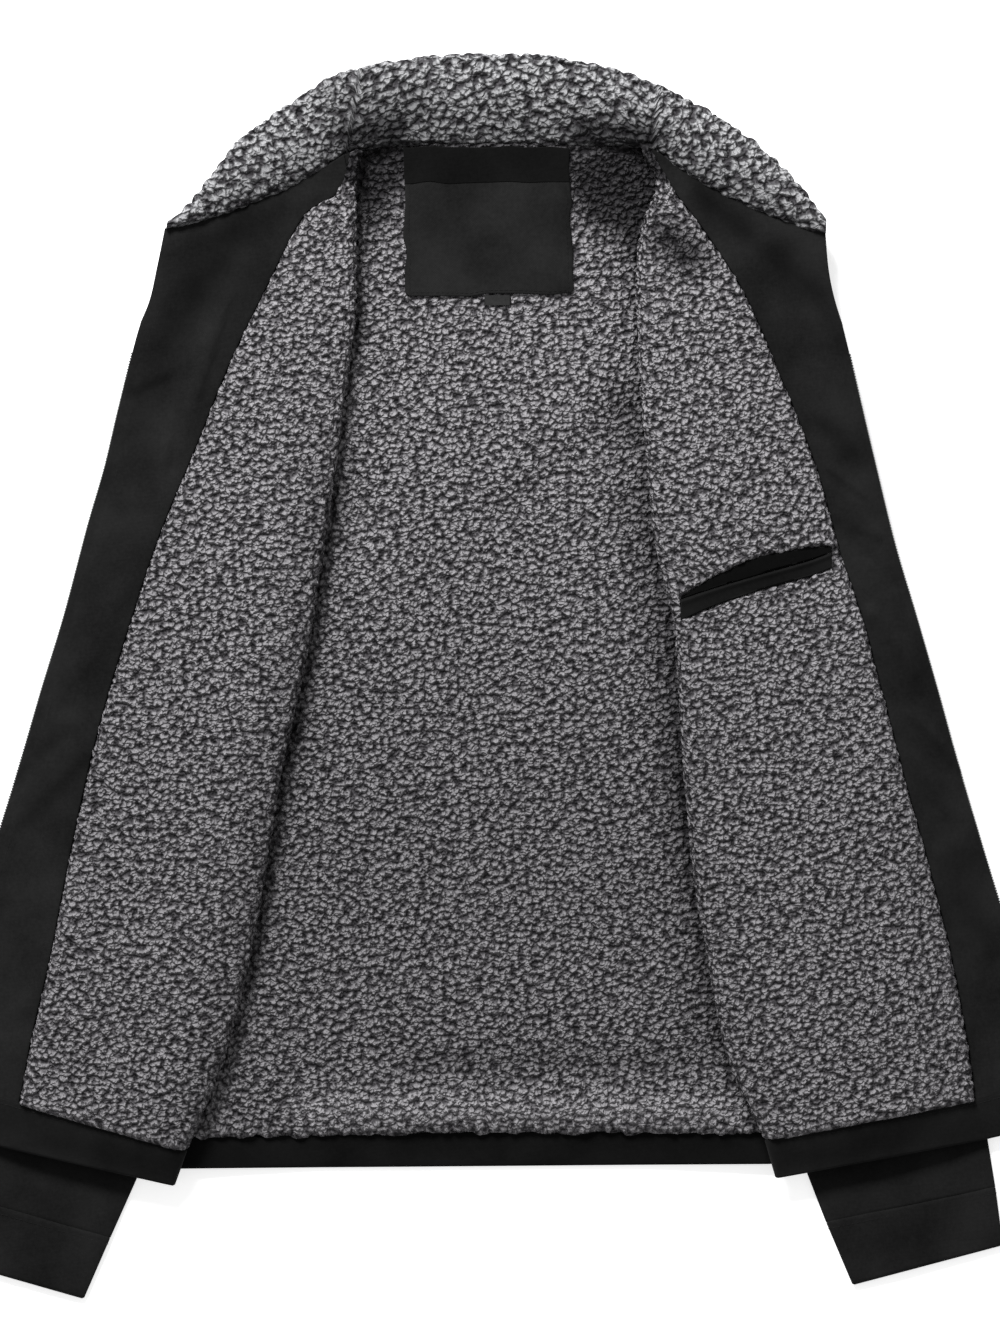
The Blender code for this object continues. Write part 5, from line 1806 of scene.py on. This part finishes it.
@dataclass
class Collar:
    """The sherpa collar, laid open, and the canvas collar under it."""

    seed: int = 29
    rows: int = 430
    top_columns: int = 84
    under_columns: int = 8

    def build(self) -> None:
        """Makes the pile collar and the canvas one under it."""
        self.pile()
        self.canvas()

    def path(self, rows: int) -> tuple[Array, Array, Array, Array]:
        """The collar's rows, its seam side set off from the pieces sewn to it."""
        table = through(COLLAR_ROWS, np.linspace(0, len(COLLAR_ROWS) - 1, rows))
        seam = table[:, 0:2]
        edge = table[:, 2:4]
        seam_y = np.maximum(seam[:, 1] - COLLAR_LAP, neck_line(seam[:, 0]) + COLLAR_SET)
        return np.column_stack([seam[:, 0], seam_y]), edge, table[:, 4], table[:, 5]

    def pile(self) -> None:
        """The rolled sherpa: a smooth closed section carried from tip to tip, with pile on top."""
        seam, edge, seam_z, edge_z = self.path(self.rows)
        wrapped = COLLAR_SECTION[-1:] + COLLAR_SECTION + COLLAR_SECTION[:2]
        count = len(COLLAR_SECTION)
        top = np.linspace(5.3, count + 0.7, self.top_columns)
        under = np.linspace(1.0, 5.0, self.under_columns)
        section = through(wrapped, np.concatenate([under, top]) + 1.0)
        across = section[:, 0]
        plan = seam[:, None] + (edge - seam)[:, None] * across[None, :, None]
        height = seam_z[:, None] + (edge_z - seam_z)[:, None] * smooth(across)[None, :]
        points = self.sewn_down(raised(plan, height + COLLAR_HIGH * section[None, :, 1]), section)
        deep_shape = points.shape[:2]
        mask = np.ones(len(across))
        mask[: self.under_columns] = 0.0
        mask[self.under_columns : self.under_columns + 3] = (0.2, 0.5, 0.8)
        mask[-12:] = np.linspace(0.9, 0.2, 12)
        around = run_length(points[:, ::-1], 1)[:, ::-1]
        spread = seam[:, None] + unit(edge - seam)[:, None] * around[..., None]
        mask[self.under_columns :] *= 0.6 + 0.4 * smooth((across[self.under_columns :] - 0.7) / 0.3)
        full_mask = np.broadcast_to(mask, deep_shape)
        moved, deep = tufted(points, spread, full_mask, COLLAR_PILE, self.seed)
        # Painted shade on the collar: at its listed places and along its seam side.
        hollow = creased(points[..., 0], points[..., 1], COLLAR_SHADE)
        hollow = hollow + COLLAR_DARK * (1.0 - smooth(across[None, :] / COLLAR_DARK_WIDE))
        values = {"pile": deep, "hollow": np.clip(hollow, 0.0, 0.9), "lay": lay_of(spread)}
        obj = loft("collar_sherpa", moved, COLLAR_FINISH, "sherpa", ["collar"], **values)
        declare(obj, ["under_collar_canvas", "back_sherpa"])

    def sewn_down(self, points: Array, section: Array) -> Array:
        """Takes the seam side's foot down on to the back, between the fronts' folds.

        Args:
            points: The collar's rings of corners.
            section: Shares across and up of each corner of a ring.

        Returns:
            The rings with their feet on the back.
        """
        x = points[..., 0]
        inside = smooth((x - RIGHT_ROWS[0].fold_x) / 4.0 + 1.0)
        inside = inside * smooth((LEFT_ROWS[0].fold_x - x) / 4.0 + 1.0)
        foot = smooth((0.3 - section[:, 0]) / 0.1) * smooth((0.5 - section[:, 1]) / 0.25)
        over = points[..., 2] - base(x, points[..., 1]) - LINING_TOP + NECK_BITE
        points[..., 2] -= inside * foot[None, :] * np.maximum(over, 0.0)
        return points

    def canvas(self) -> None:
        """The canvas collar that backs the sherpa."""
        seam, edge, seam_z, edge_z = self.path(120)
        across = np.linspace(0.1, 0.88, 16)
        plan = seam[:, None] + (edge - seam)[:, None] * across[None, :, None]
        under = seam_z[:, None] + (edge_z - seam_z)[:, None] * smooth(across)[None, :] - SEAM
        plan = plan[5:-5]
        under = under[5:-5]
        rings = soft_wall(raised(plan, under - UNDER_COLLAR), raised(plan, under))
        obj = loft("under_collar_canvas", rings, CANVAS, "canvas", ["under_collar"])
        declare(obj, ["back_canvas"])


# A flattened sleeve's section: how square its round sides are, across and up.
SQUARE_ACROSS = 0.75
SQUARE_UP = 0.35
CUFF_LONG = 40.0


@dataclass
class Sleeve:
    """One sleeve folded flat behind the back, with its stitched cuff."""

    side: str
    stations: Sequence[Station]
    seed: int
    around: int = 72
    rows: int = 100

    def build(self) -> None:
        """Makes the sleeve and its cuff."""
        rows = np.array(self.stations, float)
        share = np.linspace(0.0, 1.0, self.rows)[:, None]
        straight = rows[0] + (rows[1] - rows[0]) * share
        ease = np.linspace(0.0, 1.0, 16)[1:, None]
        stations = np.vstack([straight, rows[1] + (rows[2] - rows[1]) * ease])
        self.tube("sleeve", stations, SLEEVE_HIGH, SLEEVE_WALL, 0.9)
        start = rows[2] + (rows[3] - rows[2]) * (SEAM / CUFF_LONG)
        stations = start + (rows[3] - start) * np.linspace(0.0, 1.0, 22)[:, None]
        self.tube("cuff", stations, CUFF_HIGH, CUFF_WALL, 0.35)
        self.stitch(stations)

    def section(self, stations: Array, high: float, cut: float) -> Array:
        """Flattened oval rings, drawn in all round by a cut.

        Across, a ring goes as the cosine of an angle raised to a power under one, and
        up as its sine, which makes two flat faces joined by round sides.
        """
        angle = np.linspace(0.0, math.pi, self.around // 2 + 1)[:-1]
        along = -np.cos(angle)
        across = np.sign(along) * np.abs(along) ** SQUARE_ACROSS
        up = np.sin(angle) ** SQUARE_UP
        across = np.concatenate([across, -across])
        height = high / 2.0 + np.concatenate([up, -up]) * (high / 2.0 - cut)
        inner = stations[:, 0:2]
        outer = stations[:, 2:4]
        half = np.linalg.norm(outer - inner, axis=1)[:, None, None] / 2.0 - cut
        middle = ((inner + outer) / 2.0)[:, None]
        plan = middle + unit(outer - inner)[:, None] * across[None, :, None] * half
        return raised(plan, np.broadcast_to(height, plan.shape[:2]))

    def tube(
        self,
        kind: str,
        stations: Array,
        high: float,
        thick: float,
        crease: float,
    ):
        """A sleeve or cuff: an outer and an inner tube joined round both openings."""
        outer = self.section(stations, high, 0.0)
        inner = self.section(stations, high, thick)
        x = outer[..., 0]
        y = outer[..., 1]
        wave = blurred_noise(x, y, 34.0, self.seed) + 0.4 * blurred_noise(x, y, 12.0, self.seed + 1)
        over = smooth((outer[..., 2] / high - 0.5) * 4.0)
        outer[..., 2] += crease * over * (wave - 0.2)
        rim = []
        for edge, inside in ((0, 1), (-1, -2)):
            out = unit(outer[edge] - outer[inside])
            rim.append(((outer[edge] + inner[edge]) / 2.0 + out * thick / 3.0)[None])
            outer[edge] -= out * 0.2
        grid = np.concatenate([rim[0], outer, rim[1], inner[::-1], rim[0]])
        count, around = grid.shape[:2]
        numbers = np.arange((count - 1) * around).reshape(count - 1, around)
        numbers = np.concatenate([numbers, numbers[:1]])
        quads = grid_faces(np.concatenate([numbers, numbers[:, :1]], axis=1))
        points = grid[:-1]
        faces = outward(points, quads).tolist()
        name = f"{self.side}_{kind}_canvas"
        obj = make_piece(name, points, faces, CANVAS, "canvas", [f"{self.side}_{kind}"])
        LOG.info("%s: %d faces", obj.name, len(obj.data.polygons))

    def stitch(self, stations: Array) -> None:
        """A row of stitches round the cuff, just below its seam."""
        ring = self.section(stations[2:3], CUFF_HIGH, 0.1)[0]
        sew(f"{self.side}_cuff_topstitch", [np.concatenate([ring, ring[:1]])])


# Length of the darker strip over the patch's top, and the least cut length that is worked out.
DARK_STRIP_LONG = 23.5
PATCH_CORNER = 3.0
PATCH_WAVE = 1.2
SHORTEST_CUT = 10.0


@dataclass
class NeckTrim:
    """The patch under the collar, the bare size tab below it, and the inside pocket."""

    seed: int = 61
    steps: int = 70

    def build(self) -> None:
        """Makes the patch, the tab and the pocket's two strips."""
        seam_y = PATCH_TOP[2] - DARK_STRIP_LONG
        middle = (PATCH_TOP[0], PATCH_TOP[1], seam_y + 1.0)
        self.rectangle("neck_patch_twill", "neck_patch", middle, PATCH_FOOT, PATCH, TWILL, 0.5)
        upper = (middle[0], middle[1], seam_y)
        self.rectangle(
            "neck_patch_dark_strip", "neck_patch", PATCH_TOP, upper, PATCH + 0.3, BAND_CANVAS, 0.3
        )
        self.rectangle("size_tab_woven", "size_tab", TAB_TOP, TAB_FOOT, TAB, LABEL, 0.05)
        self.pocket()

    def rectangle(self, name: str, node: str, top, foot, thick: float, finish, wave: float) -> None:
        """A rectangle of cloth lying on the sherpa, a little uneven; the patch is stitched down its
        sides and along its foot.
        """
        down = np.linspace(0.0, 1.0, self.steps)[:, None]
        share = np.linspace(0.0, 1.0, self.steps)[None, :]
        top_x = top[0] + (top[1] - top[0]) * share
        foot_x = foot[0] + (foot[1] - foot[0]) * share
        x = top_x + (foot_x - top_x) * down
        y = np.broadcast_to(top[2] + (foot[2] - top[2]) * down, x.shape)
        if name == "neck_patch_twill":
            x = x - (2.0 * share - 1.0) ** 5 * drop_at_edge(y - foot[2], PATCH_CORNER)
        if node == "neck_patch":
            x = x + PATCH_WAVE * (blurred_noise(x, y, 11.0, self.seed + 5) - 0.5)
            y = y + PATCH_WAVE * (blurred_noise(x, y, 13.0, self.seed + 6) - 0.5)
        low = base(x, y) + LINING_TOP + LAY
        coarse = blurred_noise(x, y, 26.0, self.seed)
        puff = wave * (coarse + 0.5 * blurred_noise(x, y, 9.0, self.seed + 1))
        plan = np.stack([x, y], axis=-1)
        high = low + thick + np.maximum(puff, -0.4 * thick)
        slot = "canvas" if node == "neck_patch" else "woven_tape"
        obj = loft(name, soft_wall(raised(plan, low), raised(plan, high)), finish, slot, [node])
        long = max(top[2] - foot[2] + 1.0, SHORTEST_CUT)
        share = (top[2] - foot[2]) / long
        declare(obj, ["back_sherpa"])
        if name == "neck_patch_twill":
            surface = raised(plan, high + 0.05)
            inset = 2
            lines = [
                surface[:, inset],
                surface[-1 - inset, inset:-inset],
                surface[::-1, -1 - inset],
            ]
            sew("neck_patch_topstitch", lines)

    def pocket(self) -> None:
        """The pocket's mouth: cloth in painted shade behind the opening, and the welt's soft fold.
        """
        at = np.linspace(0, len(POCKET_ROWS) - 1, 90)
        rows = through(POCKET_ROWS, at)
        front = FrontPlan(LEFT_ROWS, 1, np.full(len(rows), 6.0))
        strips = (("pocket_facing", 1, 2, SEAM, -3.2, 0.0), ("pocket_welt", 2, 3, 0.0, -2.0, 1.2))
        for node, upper, lower, gap, sunk, roll in strips:
            share = np.linspace(0.0, 1.0, 14)[None, :]
            start = rows[:, upper][:, None]
            end = np.minimum(rows[:, lower][:, None] + gap, start - 0.5)
            y = start + (end - start) * share
            plan = np.stack([np.broadcast_to(rows[:, :1], y.shape), y], axis=-1)
            low = front.upper_height(plan, LINING_OUT + SEAM) + sunk
            bulge = roll * np.exp(-(((share - 0.12) / 0.2) ** 2))
            wave = 0.25 * blurred_noise(plan[..., 0], plan[..., 1], 12.0, self.seed + 9)
            rings = soft_wall(raised(plan, low), raised(plan, low + WELT + bulge + wave))
            finish = WELT_TWILL if node == "pocket_welt" else SHADED_POCKETING
            obj = loft(f"{node}_canvas", rings, finish, "canvas", [node])
            declare(obj, ["left_front_sherpa"])


def dress_metal() -> None:
    """The zip's box, pin, slider and pull tab keep their solids, in enamelled zinc."""
    for name in ("zip_box", "zip_pin", "zip_slider", "pull_tab"):
        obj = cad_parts[name]
        obj.data.materials.clear()
        obj.data.materials.append(dressed(ENAMEL))
        LOG.info("%s: dressed", name)


@dataclass(frozen=True)
class Studio:
    """A pale floor, soft light from above and behind the collar, and the camera."""

    view_high: float = 0.86645
    lens: float = 300.0
    sensor: float = 36.0
    middle: tuple[float, float] = (0.01055, 0.00608)
    floor_colour: str = "#fbfbfb"
    floor_glow: float = 0.62
    sky: float = 0.4

    def build(self) -> None:
        """Makes the floor, the lights, the world and the camera."""
        self.floor()
        self.light("key_softbox", (-1.1, 3.02, 2.7), 1.2, 255.0)
        world = bpy.context.scene.world or bpy.data.worlds.new("studio")
        bpy.context.scene.world = world
        world.use_nodes = True
        back = world.node_tree.nodes["Background"]
        back.inputs["Color"].default_value = (1.0, 1.0, 1.0, 1.0)
        back.inputs["Strength"].default_value = self.sky
        bpy.context.scene.view_settings.view_transform = "Standard"
        self.camera()

    def floor(self) -> None:
        """A wide plain floor just below the jacket."""
        mesh = bpy.data.meshes.new("floor")
        half = 6.0
        corners = [
            (-half, -half, -0.0003),
            (half, -half, -0.0003),
            (half, half, -0.0003),
            (-half, half, -0.0003),
        ]
        mesh.from_pydata(corners, [], [(0, 1, 2, 3)])
        material, _, shader, _ = start_material("painted_white_floor", 0.9)
        shader.inputs["Base Color"].default_value = (*linear(self.floor_colour), 1.0)
        shader.inputs["Emission Color"].default_value = (1.0, 1.0, 1.0, 1.0)
        shader.inputs["Emission Strength"].default_value = self.floor_glow
        mesh.materials.append(material)
        obj = bpy.data.objects.new("floor", mesh)
        bpy.context.scene.collection.objects.link(obj)

    def light(
        self, name: str, place: tuple[float, float, float], size: float, watts: float
    ) -> None:
        """A square softbox that faces the jacket's middle."""
        data = bpy.data.lights.new(name, "AREA")
        data.size = size
        data.energy = watts
        obj = bpy.data.objects.new(name, data)
        obj.location = place
        obj.rotation_euler = (-Vector(place)).to_track_quat("-Z", "Y").to_euler()
        bpy.context.scene.collection.objects.link(obj)

    def camera(self) -> None:
        """A long lens straight above, framing the jacket's middle."""
        data = bpy.data.cameras.new("camera")
        data.sensor_width = self.sensor
        data.lens = self.lens
        high = self.view_high * self.lens / self.sensor
        data.clip_end = high * 3.0
        obj = bpy.data.objects.new("camera", data)
        obj.location = (*self.middle, high)
        bpy.context.scene.collection.objects.link(obj)
        bpy.context.scene.camera = obj


def main() -> None:
    """Builds the jacket in order, then the studio."""
    logging.basicConfig(level=logging.INFO, format="%(name)s %(message)s")
    Sleeve("right", RIGHT_SLEEVE, 3).build()
    Sleeve("left", LEFT_SLEEVE, 5).build()
    Back().build()
    Front("right", RIGHT_ROWS, -1, 101, RIGHT_TEETH_ROW).build()
    Front("left", LEFT_ROWS, 1, 211, LEFT_TEETH_ROW).build()
    Collar().build()
    NeckTrim().build()
    dress_metal()
    Studio().build()


if __name__ == "__main__":
    main()
